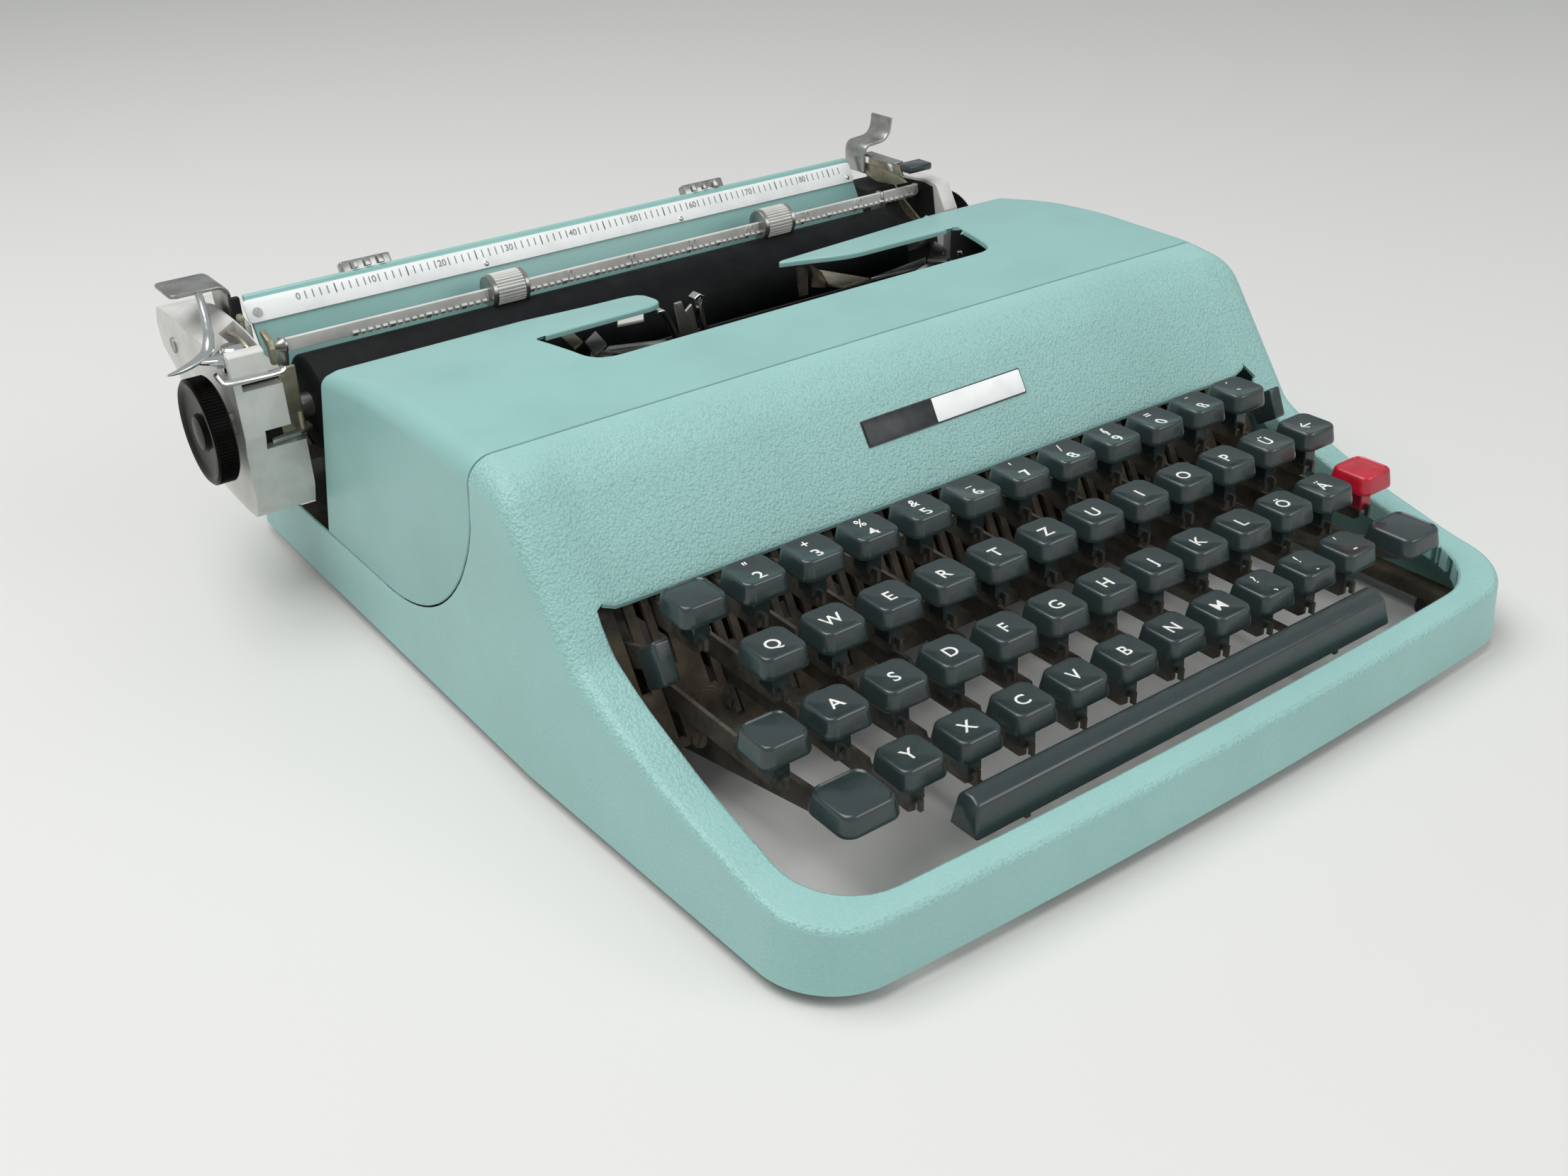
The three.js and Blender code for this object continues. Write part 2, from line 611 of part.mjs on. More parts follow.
// Finger plates that free the carriage: a flat one at the left end, a swan-necked one at the right.
function releasePlates() {
  const left = plateFront([
    [-169, 104.4], [-169, 103.2], [-153.4, 103.2], [-152.2, 102], [-152.2, 86], [-151, 86], [-151, 103],
    [-152.4, 104.4],
  ], [286, 306]);
  const right = plateFront([
    [107, 86], [108.2, 86], [108.2, 102.2], [109.4, 103.4], [118, 104.4], [121.6, 107.6], [122.6, 112.6],
    [121.4, 112.8], [120.4, 108.4], [117.2, 105.6], [108.4, 104.6], [107, 103],
  ], [288, 300]);
  return [left, right];
}

// The paper table's plate, as [Y, Z] along its front face, and its thickness.
const TABLE = { foot: [281.9, 75], head: [295.2, 96.6], thick: 1.5, from: -145.1, to: 104 };

function carriageFrameSolid() {
  const beam = boxSolid([CASTINGS.left[1] - 1, CASTINGS.rightInner[0] + 1], [293, 303], [36.5, 53]);
  const bracket = (x) =>
    plateSide([[294, 52], [301, 52], [299, 88], [296.8, 94.6], [289.4, 84], [290, 70]], [x, x + 3]);
  const rightEnd = [
    castingSolid(RIGHT_CASTING, CASTINGS.right), castingSolid(RIGHT_INNER_BLOCK, CASTINGS.rightInner),
  ];
  return join([leftCastingSolid(), ...rightEnd, ...releasePlates(), beam, bracket(-111), bracket(70)]);
}

function paperTableSolid() {
  const { foot, head, thick, from, to } = TABLE;
  const back = new THREE.Vector2(head[1] - foot[1], foot[0] - head[0]).setLength(thick);
  const plate = plateSide([
    foot, [foot[0] + back.x, foot[1] + back.y], [head[0] + back.x, head[1] + back.y], head,
  ], [from, to]);
  const pan = (radius, start, end) => arc(PLATEN.y, PLATEN.z, radius, start, end, 5);
  const trough = plateSide([
    ...pan(PLATEN.radius + 1.6, -70, 26), ...pan(PLATEN.radius + 3.2, 26, -70),
  ], [PLATEN.from + 0.5, PLATEN.to - 0.5]);
  return join([plate, trough]);
}

function platenSolid() {
  const { radius, from, to, shaft } = PLATEN;
  const outline = [
    [0, KNOB.left[0]], [KNOB.radius, KNOB.left[0]], [KNOB.radius, KNOB.left[1]], [shaft, KNOB.left[1]],
    [shaft, from], [radius, from], [radius, to], [shaft, to],
    [shaft, KNOB.right[0]], [KNOB.radius, KNOB.right[0]], [KNOB.radius, KNOB.right[1]], [0, KNOB.right[1]],
  ];
  const geometry = new THREE.LatheGeometry(outline.map(([r, x]) => new THREE.Vector2(r, x)), 24);
  geometry.rotateZ(-Math.PI / 2);
  geometry.translate(0, PLATEN.y, PLATEN.z);
  return toSolid(geometry);
}

function paperBailSolid() {
  const b = BAIL;
  const bar = plateSide([
    [b.y - 0.9, b.z + 2.3], [b.y - 0.9, b.z - 2.3], [b.y + 0.5, b.z - 2.3], [b.y + 0.5, b.z + 2.3],
  ], [b.from, b.to]);
  const arm = (x) => plateSide([
    [b.y - 1, b.z + 2.3], [b.y - 2, b.z - 3], [b.pivotY - 3, b.pivotZ], [b.pivotY, b.pivotZ - 3],
    [b.pivotY + 3, b.pivotZ], [b.y + 4, b.z - 2], [b.y + 2, b.z + 2.3],
  ], [x, x + 1.5]);
  const rollers = b.rollers.map((x) => rodAlongX(5.6, [x - 7.5, x + 7.5], b.y + 0.2, b.z, 14));
  return join([bar, arm(-143.6), arm(102.1), ...rollers]);
}

// Hook-shaped thumb lever on a stud at the front of the left casting.
const RETURN_LEVER = { x: -160.5, y: 266, z: 88 };

function returnLeverSolid() {
  const { x, y, z } = RETURN_LEVER;
  const stud = new THREE.CylinderGeometry(4, 4, 5, 12);
  stud.rotateX(Math.PI / 2);
  stud.translate(x, y, z);
  const path = new THREE.CatmullRomCurve3([
    new THREE.Vector3(x, y, z + 1), new THREE.Vector3(x - 8, y - 1, z + 0.5),
    new THREE.Vector3(x - 15, y - 4, z + 0.5), new THREE.Vector3(x - 22.5, y - 8, z + 2),
  ]);
  const section = shapeOf([[-3, -1], [3, -1], [3, 1], [-3, 1]]);
  const hook = new THREE.ExtrudeGeometry(section, { extrudePath: path, steps: 6, bevelEnabled: false });
  const risePath = new THREE.CatmullRomCurve3([
    new THREE.Vector3(x - 8, y - 1, z), new THREE.Vector3(x - 5, y + 3, z + 6),
    new THREE.Vector3(x - 3, y + 10, z + 11), new THREE.Vector3(x - 2, y + 18, z + 16),
  ]);
  const rise = new THREE.ExtrudeGeometry(shapeOf([[-1.4, -1.4], [1.4, -1.4], [1.4, 1.4], [-1.4, 1.4]]), {
    extrudePath: risePath, steps: 6, bevelEnabled: false,
  });
  return join([toSolid(stud), toSolid(hook), toSolid(rise)]);
}

function paperReleaseSolid() {
  const plate = plateSide([
    [268, 96.4], [288, 98.6], [293, 94], [290, 87.6], [286.6, 88.4], [285, 94], [272, 93.4],
  ], [109, 110.6]);
  const tip = boxSolid([107.5, 121], [262, 272], [96.2, 99.8]);
  return join([plate, tip]);
}

// ---------------------------------------------------------------- assembly

const machine = new THREE.Group();

function addPiece(name, solid, finish) {
  const piece = new THREE.Mesh(toGeometry(solid), new THREE.MeshStandardMaterial(COLOURS[finish]));
  piece.name = name;
  machine.add(piece);
}

const shell = caseShell();
addPiece('body_shell', shell.subtract(coverRegion(-SEAM.gap / 2)), 'paint');
addPiece('chassis', chassisSolid(), 'steel');
addPiece('top_cover', topCover(shell), 'paint');
addPiece('carriage_frame', carriageFrameSolid(), 'silver');
addPiece('paper_table', paperTableSolid(), 'paint');
addPiece('platen', platenSolid(), 'rubber');
addPiece('paper_bail', paperBailSolid(), 'chrome');
addPiece('return_lever', returnLeverSolid(), 'chrome');
addPiece('paper_release_lever', paperReleaseSolid(), 'chrome');
addPiece('space_bar', spaceBarSolid(), 'keys');
addPiece('shift_keys', shiftKeysSolid(), 'keys');
addPiece('shift_lock_key', keySolid(keyX(3, -1), 3, 1, 0), 'keys');
addPiece('margin_release_key', keySolid(keyX(1, 0), 1, 1, 0), 'keys');
addPiece('backspace_key', keySolid(keyX(2, 11), 2), 'keys');
addPiece('tabulator_key', keySolid(keyX(3, 11), 3, 1, 0), 'red');
addPiece('tab_set_lever', paddleSolid(PADDLES.left), 'keys');
addPiece('ribbon_selector', paddleSolid(PADDLES.right), 'keys');

for (const row of [1, 2, 3, 4]) {
  const first = row === 1 ? 1 : 0;
  TYPE_KEYS[row].forEach((name, i) => addPiece(`key_${name}`, keySolid(keyX(row, first + i), row), 'keys'));
}

const bounds = new THREE.Box3().setFromObject(machine);
machine.position.set(-(bounds.min.x + bounds.max.x) / 2, -(bounds.min.y + bounds.max.y) / 2, -bounds.min.z);

export default machine;
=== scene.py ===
"""Looks for a flat portable typewriter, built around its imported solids.

Shapes are drawn in millimetres from the case's centre plane (X), the front edge of its corners (Y)
and the table (Z). settle() turns each one into a plain mesh in the frame's metres.
"""

from math import atan2, cos, hypot, pi, radians, sin, sqrt, tau

import bmesh
import bpy
import numpy as np
from mathutils import Matrix, Vector
from mathutils.geometry import delaunay_2d_cdt


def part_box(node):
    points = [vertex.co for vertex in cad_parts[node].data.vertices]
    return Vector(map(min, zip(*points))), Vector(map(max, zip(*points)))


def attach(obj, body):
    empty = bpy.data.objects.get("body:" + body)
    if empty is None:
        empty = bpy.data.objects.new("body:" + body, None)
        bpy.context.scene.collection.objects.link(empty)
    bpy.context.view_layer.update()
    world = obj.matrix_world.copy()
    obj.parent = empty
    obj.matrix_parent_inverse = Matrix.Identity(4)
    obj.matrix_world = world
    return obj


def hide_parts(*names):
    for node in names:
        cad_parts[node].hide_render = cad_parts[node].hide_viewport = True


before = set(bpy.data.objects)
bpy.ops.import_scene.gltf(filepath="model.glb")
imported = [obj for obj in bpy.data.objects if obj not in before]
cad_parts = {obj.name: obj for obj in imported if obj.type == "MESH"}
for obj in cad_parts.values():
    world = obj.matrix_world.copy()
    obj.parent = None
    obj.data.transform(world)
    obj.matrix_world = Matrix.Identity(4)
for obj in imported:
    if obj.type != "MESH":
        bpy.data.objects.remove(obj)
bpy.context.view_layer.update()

MM = 0.001
NOSE = 2.2
SHELL_LOW, SHELL_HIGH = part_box("body_shell")
ORIGIN = Vector(((SHELL_LOW.x + SHELL_HIGH.x) / 2, SHELL_LOW.y + NOSE * MM, 0))
TO_FRAME = Matrix.Translation(ORIGIN) @ Matrix.Scale(MM, 4)


def node_box(node):
    """A CAD node's lowest and highest corners, in millimetres."""
    return [(corner - ORIGIN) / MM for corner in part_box(node)]


# ------------------------------------------------------------------ materials


def linear(code):
    """A colour written as #rrggbb, as the shader wants it."""
    channels = [int(code[i : i + 2], 16) / 255 for i in (1, 3, 5)]
    return (*[c / 12.92 if c <= 0.04045 else ((c + 0.055) / 1.055) ** 2.4 for c in channels], 1)


def add(tree, kind, sockets=(), **settings):
    """Adds a node with its settings; a socket that is given another node's output is linked to it."""
    made = tree.nodes.new(kind)
    for name, value in settings.items():
        setattr(made, name, value)
    for key, value in dict(sockets).items():
        if isinstance(value, bpy.types.NodeSocket):
            tree.links.new(value, made.inputs[key])
        else:
            made.inputs[key].default_value = value
    return made


def new_material(name, colour, roughness, metallic=0.0, ior=None):
    """A bare surface shader with the given start values."""
    material = bpy.data.materials.new(name)
    material.use_nodes = True
    tree = material.node_tree
    shader = tree.nodes["Principled BSDF"]
    shader.inputs["Base Color"].default_value = linear(colour)
    shader.inputs["Roughness"].default_value = roughness
    shader.inputs["Metallic"].default_value = metallic
    if ior:
        shader.inputs["IOR"].default_value = ior
    material.diffuse_color = linear(colour)
    return material, tree, shader


def spots(tree, size_mm, detail=3.0, roughness=0.6, distortion=0.0):
    """Cloudy noise whose patches are about size_mm across."""
    place = add(tree, "ShaderNodeTexCoord").outputs["Object"]
    sockets = {
        "Vector": place, "Scale": 1 / (size_mm * MM), "Detail": detail, "Roughness": roughness,
        "Distortion": distortion,
    }
    return add(tree, "ShaderNodeTexNoise", sockets).outputs["Fac"]


def ramp(tree, factor, stops):
    """Colours or greys at places along a factor."""
    made = add(tree, "ShaderNodeValToRGB", {"Fac": factor})
    band = made.color_ramp
    while len(band.elements) < len(stops):
        band.elements.new(0.5)
    for element, (place, value) in zip(band.elements, stops):
        element.position = place
        element.color = linear(value) if isinstance(value, str) else (value, value, value, 1)
    return made.outputs["Color"]


def blended(tree, factor, first, second):
    """One colour fading into another by a factor."""
    sockets = {0: factor, 6: first, 7: second}
    return add(tree, "ShaderNodeMix", sockets, data_type="RGBA").outputs[2]


def raised(tree, shader, height, depth_mm, strength=1.0):
    """Bumps of a real depth, from a height between 0 and 1."""
    sockets = {"Height": height, "Distance": depth_mm * MM, "Strength": strength}
    bump = add(tree, "ShaderNodeBump", sockets)
    tree.links.new(bump.outputs["Normal"], shader.inputs["Normal"])


def worn_colour(tree, shader, clean, dirty, size_mm, low=0.45, high=0.75):
    """Lets a second colour show through in cloudy patches."""
    patches = ramp(tree, spots(tree, size_mm), [(low, 0.0), (high, 1.0)])
    colour = blended(tree, patches, linear(clean), linear(dirty))
    tree.links.new(colour, shader.inputs["Base Color"])
    return colour


def grained_enamel():
    """Stoving enamel over an embossed pressing: leather grain on slopes, fainter on flats and sides, with
    painted shade in the grain's creases.
    """
    material, tree, shader = new_material("grained_enamel", "#98c2b9", 0.4, ior=1.5)
    coordinates = add(tree, "ShaderNodeTexCoord").outputs
    place, upright = coordinates["Object"], coordinates["Normal"]
    warped = add(tree, "ShaderNodeTexNoise", {"Vector": place, "Scale": 1 / (1.2 * MM), "Detail": 1})
    shift = add(tree, "ShaderNodeVectorMath", {0: warped.outputs["Color"], 3: 1.0 * MM}, operation="SCALE")
    moved = add(tree, "ShaderNodeVectorMath", {0: place, 1: shift.outputs[0]}, operation="ADD")
    sockets = {"Vector": moved.outputs[0], "Scale": 1 / (0.8 * MM), "Smoothness": 0.5, "Randomness": 1.0}
    creases = add(tree, "ShaderNodeTexVoronoi", sockets, feature="SMOOTH_F1").outputs["Distance"]
    slope = add(tree, "ShaderNodeSeparateXYZ", {0: upright}).outputs["Z"]
    grain_by_slope = ramp(tree, slope, [(0.05, 0.22), (0.4, 1.0), (0.93, 1.0), (0.99, 0.3)])
    patches = ramp(tree, spots(tree, 60), [(0.4, 0.0), (0.8, 1.0)])
    broad = blended(tree, patches, linear("#98c3be"), linear("#8fb9b4"))
    # Painted shade: the colour darkens towards #769d97 in the grain's creases, most where the grain is
    # strongest.
    depth = ramp(tree, creases, [(0.3, 0.0), (0.9, 0.5)])
    shade = add(tree, "ShaderNodeMath", {0: depth, 1: grain_by_slope}, operation="MULTIPLY").outputs[0]
    colour = blended(tree, shade, broad, linear("#769d97"))
    tree.links.new(colour, shader.inputs["Base Color"])
    fine = spots(tree, 0.4, 2.0)
    height = add(tree, "ShaderNodeMath", {0: fine, 1: 0.25, 2: creases}, operation="MULTIPLY_ADD").outputs[0]
    relief = add(tree, "ShaderNodeMath", {0: height, 1: grain_by_slope}, operation="MULTIPLY").outputs[0]
    raised(tree, shader, relief, -0.3, 0.9)
    return material


def smooth_enamel():
    """The same enamel on the smooth cover: a faint orange peel and a few rubbed, greyer places."""
    material, tree, shader = new_material("smooth_enamel", "#8db9b4", 0.38, ior=1.5)
    worn_colour(tree, shader, "#8db9b4", "#82aca6", 45, 0.45, 0.9)
    raised(tree, shader, spots(tree, 0.7, 2.0), 0.06, 0.6)
    return material


def key_plastic():
    """Injection-moulded urea resin: dark grey-green, polished tops with a haze of dust specks."""
    material, tree, shader = new_material("key_plastic", "#2f3939", 0.2, ior=1.6)
    specks = ramp(tree, spots(tree, 0.55, 4.0, 0.75), [(0.62, 0.0), (0.7, 1.0)])
    haze = ramp(tree, spots(tree, 9, 3.0), [(0.5, 0.0), (0.8, 0.5)])
    faint = add(tree, "ShaderNodeMath", {0: specks, 1: haze}, operation="MULTIPLY").outputs[0]
    colour = blended(tree, faint, linear("#2c3737"), linear("#a3a9a4"))
    tree.links.new(colour, shader.inputs["Base Color"])
    rough = ramp(tree, spots(tree, 5, 3.0), [(0.35, 0.17), (0.75, 0.33)])
    tree.links.new(rough, shader.inputs["Roughness"])
    raised(tree, shader, spots(tree, 0.8, 2.0), 0.02, 0.35)
    return material


def red_plastic():
    """The same resin in signal red, a little more matt from handling."""
    material, tree, shader = new_material("red_plastic", "#b5142c", 0.3, ior=1.6)
    worn_colour(tree, shader, "#bb1830", "#a01226", 6)
    raised(tree, shader, spots(tree, 0.8, 2.0), 0.02, 0.35)
    return material


def legend_white():
    """Second-shot white resin that fills the legends, flush with the key top."""
    material, tree, shader = new_material("legend_white", "#e9ebe4", 0.35, ior=1.55)
    worn_colour(tree, shader, "#eceee8", "#cfd2c9", 2)
    return material


def dusty_steel():
    """Blackened sheet steel behind the keys, brown with decades of dust that settled in patches."""
    material, tree, shader = new_material("dusty_steel", "#463f35", 0.62, 0.2)
    worn_colour(tree, shader, "#3c362d", "#6b5f4d", 11, 0.35, 0.75)
    rough = ramp(tree, spots(tree, 3, 5.0), [(0.3, 0.45), (0.7, 0.85)])
    tree.links.new(rough, shader.inputs["Roughness"])
    raised(tree, shader, spots(tree, 0.7, 5.0, 0.7), 0.12, 0.7)
    return material


def lever_steel():
    """Punched flat steel: brownish grey faces with darker brown patches."""
    material, tree, shader = new_material("lever_steel", "#6b655c", 0.45, 0.55)
    worn_colour(tree, shader, "#726c62", "#4b4339", 7, 0.4, 0.75)
    raised(tree, shader, spots(tree, 0.5, 4.0, 0.7), 0.04, 0.6)
    return material


def silver_paint():
    """Aluminium paint sprayed on pressure-cast end plates: very fine flakes, soft grey."""
    material, tree, shader = new_material("silver_paint", "#d2d1cc", 0.42, 0.12)
    worn_colour(tree, shader, "#d4d3ce", "#bcbab3", 11, 0.4, 0.85)
    raised(tree, shader, spots(tree, 0.22, 1.0), 0.015, 0.5)
    return material


def chrome_plate():
    """Bright nickel-chrome plating, slightly hazed by fingerprints."""
    material, tree, shader = new_material("chrome_plate", "#d9dad8", 0.12, 1.0)
    rough = ramp(tree, spots(tree, 6, 4.0), [(0.35, 0.08), (0.8, 0.26)])
    tree.links.new(rough, shader.inputs["Roughness"])
    raised(tree, shader, spots(tree, 1.5, 2.0), 0.012, 0.4)
    return material


def satin_nickel():
    """Barrel-plated nickel on stamped finger plates: greyer and brushed by use."""
    material, tree, shader = new_material("satin_nickel", "#a7a7a3", 0.3, 0.9)
    worn_colour(tree, shader, "#adada9", "#7c7a74", 8, 0.4, 0.8)
    raised(tree, shader, spots(tree, 0.6, 3.0), 0.02, 0.5)
    return material


def yellow_zinc():
    """Passivated zinc on inner brackets: beige with a faint yellow cast."""
    material, tree, shader = new_material("yellow_zinc", "#9c9580", 0.4, 0.7)
    worn_colour(tree, shader, "#a49d88", "#746c57", 9, 0.4, 0.8)
    raised(tree, shader, spots(tree, 0.6, 3.0), 0.02, 0.5)
    return material


def platen_rubber():
    """Ground vulcanised rubber, hardened and dull, greyed along its length by paper."""
    material, tree, shader = new_material("platen_rubber", "#0e0f10", 0.62, ior=1.35)
    worn_colour(tree, shader, "#0d0e0f", "#1a1b1c", 12, 0.4, 0.8)
    shader.inputs["Specular IOR Level"].default_value = 0.25
    raised(tree, shader, spots(tree, 0.8, 4.0), 0.03, 0.5)
    return material


def knob_resin():
    """Compression-moulded phenolic resin, black and polished."""
    material, tree, shader = new_material("knob_resin", "#0a0908", 0.24, ior=1.32)
    worn_colour(tree, shader, "#0a0807", "#15110e", 7)
    shader.inputs["Specular IOR Level"].default_value = 0.12
    raised(tree, shader, spots(tree, 1.2, 2.0), 0.02, 0.3)
    return material


def anodised_white():
    """Matt anodised aluminium strip of the paper scale."""
    material, tree, shader = new_material("anodised_white", "#f1f3f1", 0.4, 0.0)
    worn_colour(tree, shader, "#f3f5f3", "#d9dcd7", 16, 0.5, 0.9)
    return material


def printed_grey():
    """Etched, ink-filled marks of the scales."""
    material, tree, shader = new_material("printed_grey", "#8a8c8c", 0.5)
    worn_colour(tree, shader, "#838586", "#9c9e9d", 3)
    return material


def dark_gap():
    """Painted shade: near-black for deep, unlit recesses between the end plates' walls and other shaded
    spaces.
    """
    material, tree, shader = new_material("dark_gap", "#0b0b0b", 0.8)
    worn_colour(tree, shader, "#090909", "#14120f", 8)
    return material


def foot_rubber():
    """Moulded black rubber of the feet."""
    material, tree, shader = new_material("foot_rubber", "#191919", 0.75)
    raised(tree, shader, spots(tree, 0.6, 3.0), 0.05, 0.6)
    return material


def lint():
    """Paper and wool fibres caught on oily steel."""
    material, tree, shader = new_material("lint", "#8a7a64", 0.9)
    worn_colour(tree, shader, "#94866f", "#5d4f3d", 4)
    return material


def nameplate_dark():
    """The dark half of the bare, anodised nameplate."""
    material, tree, shader = new_material("nameplate_dark", "#26282a", 0.35, 0.3)
    worn_colour(tree, shader, "#242628", "#34373a", 5)
    return material


ENAMEL, COVER_ENAMEL, KEY, RED, LEGEND = (
    grained_enamel(), smooth_enamel(), key_plastic(), red_plastic(), legend_white())
DUSTY, LEVER_METAL, SILVER, CHROME, NICKEL = (
    dusty_steel(), lever_steel(), silver_paint(), chrome_plate(), satin_nickel())
ZINC, RUBBER, RESIN, WHITE, INK = (
    yellow_zinc(), platen_rubber(), knob_resin(), anodised_white(), printed_grey())
GAP, FOOT, LINT, PLATE_DARK = dark_gap(), foot_rubber(), lint(), nameplate_dark()


# ------------------------------------------------------------------ meshes


def new_piece(name, points, faces, material):
    """A mesh object from points in millimetres."""
    mesh = bpy.data.meshes.new(name)
    mesh.from_pydata([tuple(p) for p in points], [], [tuple(f) for f in faces])
    mesh.materials.append(material)
    made = bpy.data.objects.new(name, mesh)
    bpy.context.scene.collection.objects.link(made)
    return made


def bake(piece):
    """Turns a piece and its modifiers into a plain mesh."""
    evaluated = piece.evaluated_get(bpy.context.evaluated_depsgraph_get())
    mesh = bpy.data.meshes.new_from_object(evaluated)
    piece.modifiers.clear()
    old = piece.data
    piece.data = mesh
    mesh.name = piece.name
    bpy.data.meshes.remove(old)
    return piece


def soften(piece, width, segments=2, angle=35):
    """Rounds every edge that is sharper than an angle."""
    bevel = piece.modifiers.new("edges", "BEVEL")
    bevel.width = width
    bevel.segments = segments
    bevel.limit_method = "ANGLE"
    bevel.angle_limit = radians(angle)
    bevel.miter_outer = "MITER_ARC"
    return bake(piece)


def carve(piece, *tools):
    """Cuts tools out of a piece."""
    for tool in tools:
        cut = piece.modifiers.new("cut", "BOOLEAN")
        cut.operation = "DIFFERENCE"
        cut.solver = "EXACT"
        cut.object = tool
    bake(piece)
    for tool in tools:
        bpy.data.objects.remove(tool)
    return piece


def settle(piece, body, replaces=(), sharp=38):
    """Moves a finished piece into the frame, smooths its faces up to an angle and lets it ride on a body."""
    piece.data.transform(TO_FRAME)
    piece.data.shade_smooth()
    piece.data.set_sharp_from_angle(angle=radians(sharp))
    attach(piece, body)
    if replaces:
        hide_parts(*replaces)
    return piece


def merged(name, pieces):
    """Joins pieces of one body into one object that keeps each one's material."""
    points, faces, kinds, materials = [], [], [], []
    for piece in pieces:
        start = len(points)
        points.extend(v.co.copy() for v in piece.data.vertices)
        for face in piece.data.polygons:
            faces.append([start + i for i in face.vertices])
            material = piece.data.materials[face.material_index]
            if material not in materials:
                materials.append(material)
            kinds.append(materials.index(material))
    whole = new_piece(name, points, faces, materials[0])
    for material in materials[1:]:
        whole.data.materials.append(material)
    whole.data.polygons.foreach_set("material_index", kinds)
    for piece in pieces:
        bpy.data.objects.remove(piece)
    return whole


def loft(name, rings, material, closed=False):
    """A skin through rings of points, ended by flat faces or closed on itself."""
    count = len(rings[0])
    points = [p for ring in rings for p in ring]
    faces = []
    last = len(rings) if closed else len(rings) - 1
    for r in range(last):
        low, high = r * count, (r + 1) % len(rings) * count
        for i in range(count):
            j = (i + 1) % count
            faces.append((low + i, low + j, high + j, high + i))
    if not closed:
        faces.append(range(count - 1, -1, -1))
        faces.append(range(len(points) - count, len(points)))
    made = new_piece(name, points, faces, material)
    face_out(made)
    return made


def face_out(piece):
    """Turns every face of a closed mesh outwards."""
    mesh = bmesh.new()
    mesh.from_mesh(piece.data)
    bmesh.ops.recalc_face_normals(mesh, faces=mesh.faces)
    mesh.to_mesh(piece.data)
    mesh.free()


def plate(name, outline, axis, span, material):
    """An outline drawn out along X, Y or Z; it holds the two other coordinates in their order."""
    place = {
        "X": lambda a, b, s: (s, a, b), "Y": lambda a, b, s: (a, s, b), "Z": lambda a, b, s: (a, b, s),
    }[axis]
    return loft(name, [[place(a, b, s) for a, b in outline] for s in span], material)


def block(name, xs, ys, zs, material, rounding=0.3):
    """A box with rounded edges."""
    outline = [(xs[0], ys[0]), (xs[1], ys[0]), (xs[1], ys[1]), (xs[0], ys[1])]
    return soften(plate(name, outline, "Z", zs, material), rounding)


def turned(name, profile, centre, material, sides=48, axis="X"):
    """A body of revolution about a line along X, Y or Z through a centre, from (along, radius) pairs."""
    place = {
        "X": lambda s, a, b: (s, centre[0] + a, centre[1] + b),
        "Y": lambda s, a, b: (centre[0] + a, s, centre[1] + b),
        "Z": lambda s, a, b: (centre[0] + a, centre[1] + b, s),
    }[axis]
    angles = [tau * i / sides for i in range(sides)]
    rings = [[place(s, r * cos(a), r * sin(a)) for a in angles] for s, r in profile]
    return loft(name, rings, material)


def swept(name, path, sections, material):
    """A bar along a path, upright all the way; each section is a ring of (across, up) at its path point."""
    rings = []
    path = [Vector(p) for p in path]
    for i, (point, section) in enumerate(zip(path, sections)):
        along = (path[min(i + 1, len(path) - 1)] - path[max(i - 1, 0)]).normalized()
        across = along.cross(Vector((0, 0, 1)))
        across = across.normalized() if across.length > 0.05 else Vector((1, 0, 0))
        up = across.cross(along)
        rings.append([point + across * a + up * b for a, b in section])
    return loft(name, rings, material)


def oval(width, height, sides=12):
    """A ring of (across, up)."""
    return [(width / 2 * cos(tau * i / sides), height / 2 * sin(tau * i / sides)) for i in range(sides)]


def arc(a, b, radius, start, end, steps=8):
    """Points of an arc, in degrees."""
    angles = [radians(start + (end - start) * i / steps) for i in range(steps + 1)]
    return [(a + radius * cos(t), b + radius * sin(t)) for t in angles]


def rounded_line(corners, steps=5, closed=False):
    """Straight runs joined by short curves at the corners that carry a rounding."""
    line = []
    count = len(corners)
    for i, (a, b, rounding) in enumerate(corners):
        corner = Vector((a, b))
        if not rounding or (not closed and i in (0, count - 1)):
            line.append(corner)
            continue
        before = Vector(corners[i - 1][:2]) - corner
        after = Vector(corners[(i + 1) % count][:2]) - corner
        start = corner + before.normalized() * rounding / 2
        end = corner + after.normalized() * rounding / 2
        for k in range(steps + 1):
            t = k / steps
            line.append(start * (1 - t) ** 2 + corner * 2 * t * (1 - t) + end * t * t)
    return line


def smooth_path(points, steps=6):
    """A Catmull-Rom curve through points."""
    points = [Vector(p) for p in points]
    ends = [points[0] * 2 - points[1], *points, points[-1] * 2 - points[-2]]
    path = []
    for a, b, c, d in zip(ends, ends[1:], ends[2:], ends[3:]):
        for k in range(steps):
            t = k / steps
            path.append((b * 2 + (c - a) * t + (a * 2 - b * 5 + c * 4 - d) * t * t
                         + (b * 3 - a - c * 3 + d) * t ** 3) / 2)
    path.append(points[-1])
    return path


# ------------------------------------------------------------------ case and cover

HALF_WIDTH, DEPTH, BASE = 144.5, 335.0, 4.0
FRONT_RADIUS, REAR_RADIUS = 21.0, 14.0
SHEET = 1.2
BOW, BOW_REACH, TAPER, TAPER_REACH, CROWN = 4.5, 60.0, 0.046, 125.0, 0.6
PANEL_FOOT, PANEL_HEAD = (99, 49.6), (129, 90.6)
TOP_PROFILE = [
    (0, 21.4, 0), (28, 25.2, 12), (58, 32.2, 14), (86, 42.4, 12), (*PANEL_FOOT, 6), (*PANEL_HEAD, 12),
    (146, 93.6, 10), (188, 94.4, 20), (214, 92.4, 20), (241, 87.6, 0), (335, 84, 0),
]
CENTRE_LINE = rounded_line(TOP_PROFILE, 6)
WALL_RING = 12.5
PANEL_SET_BACK = 2.2
SEAM_GAP = 0.45


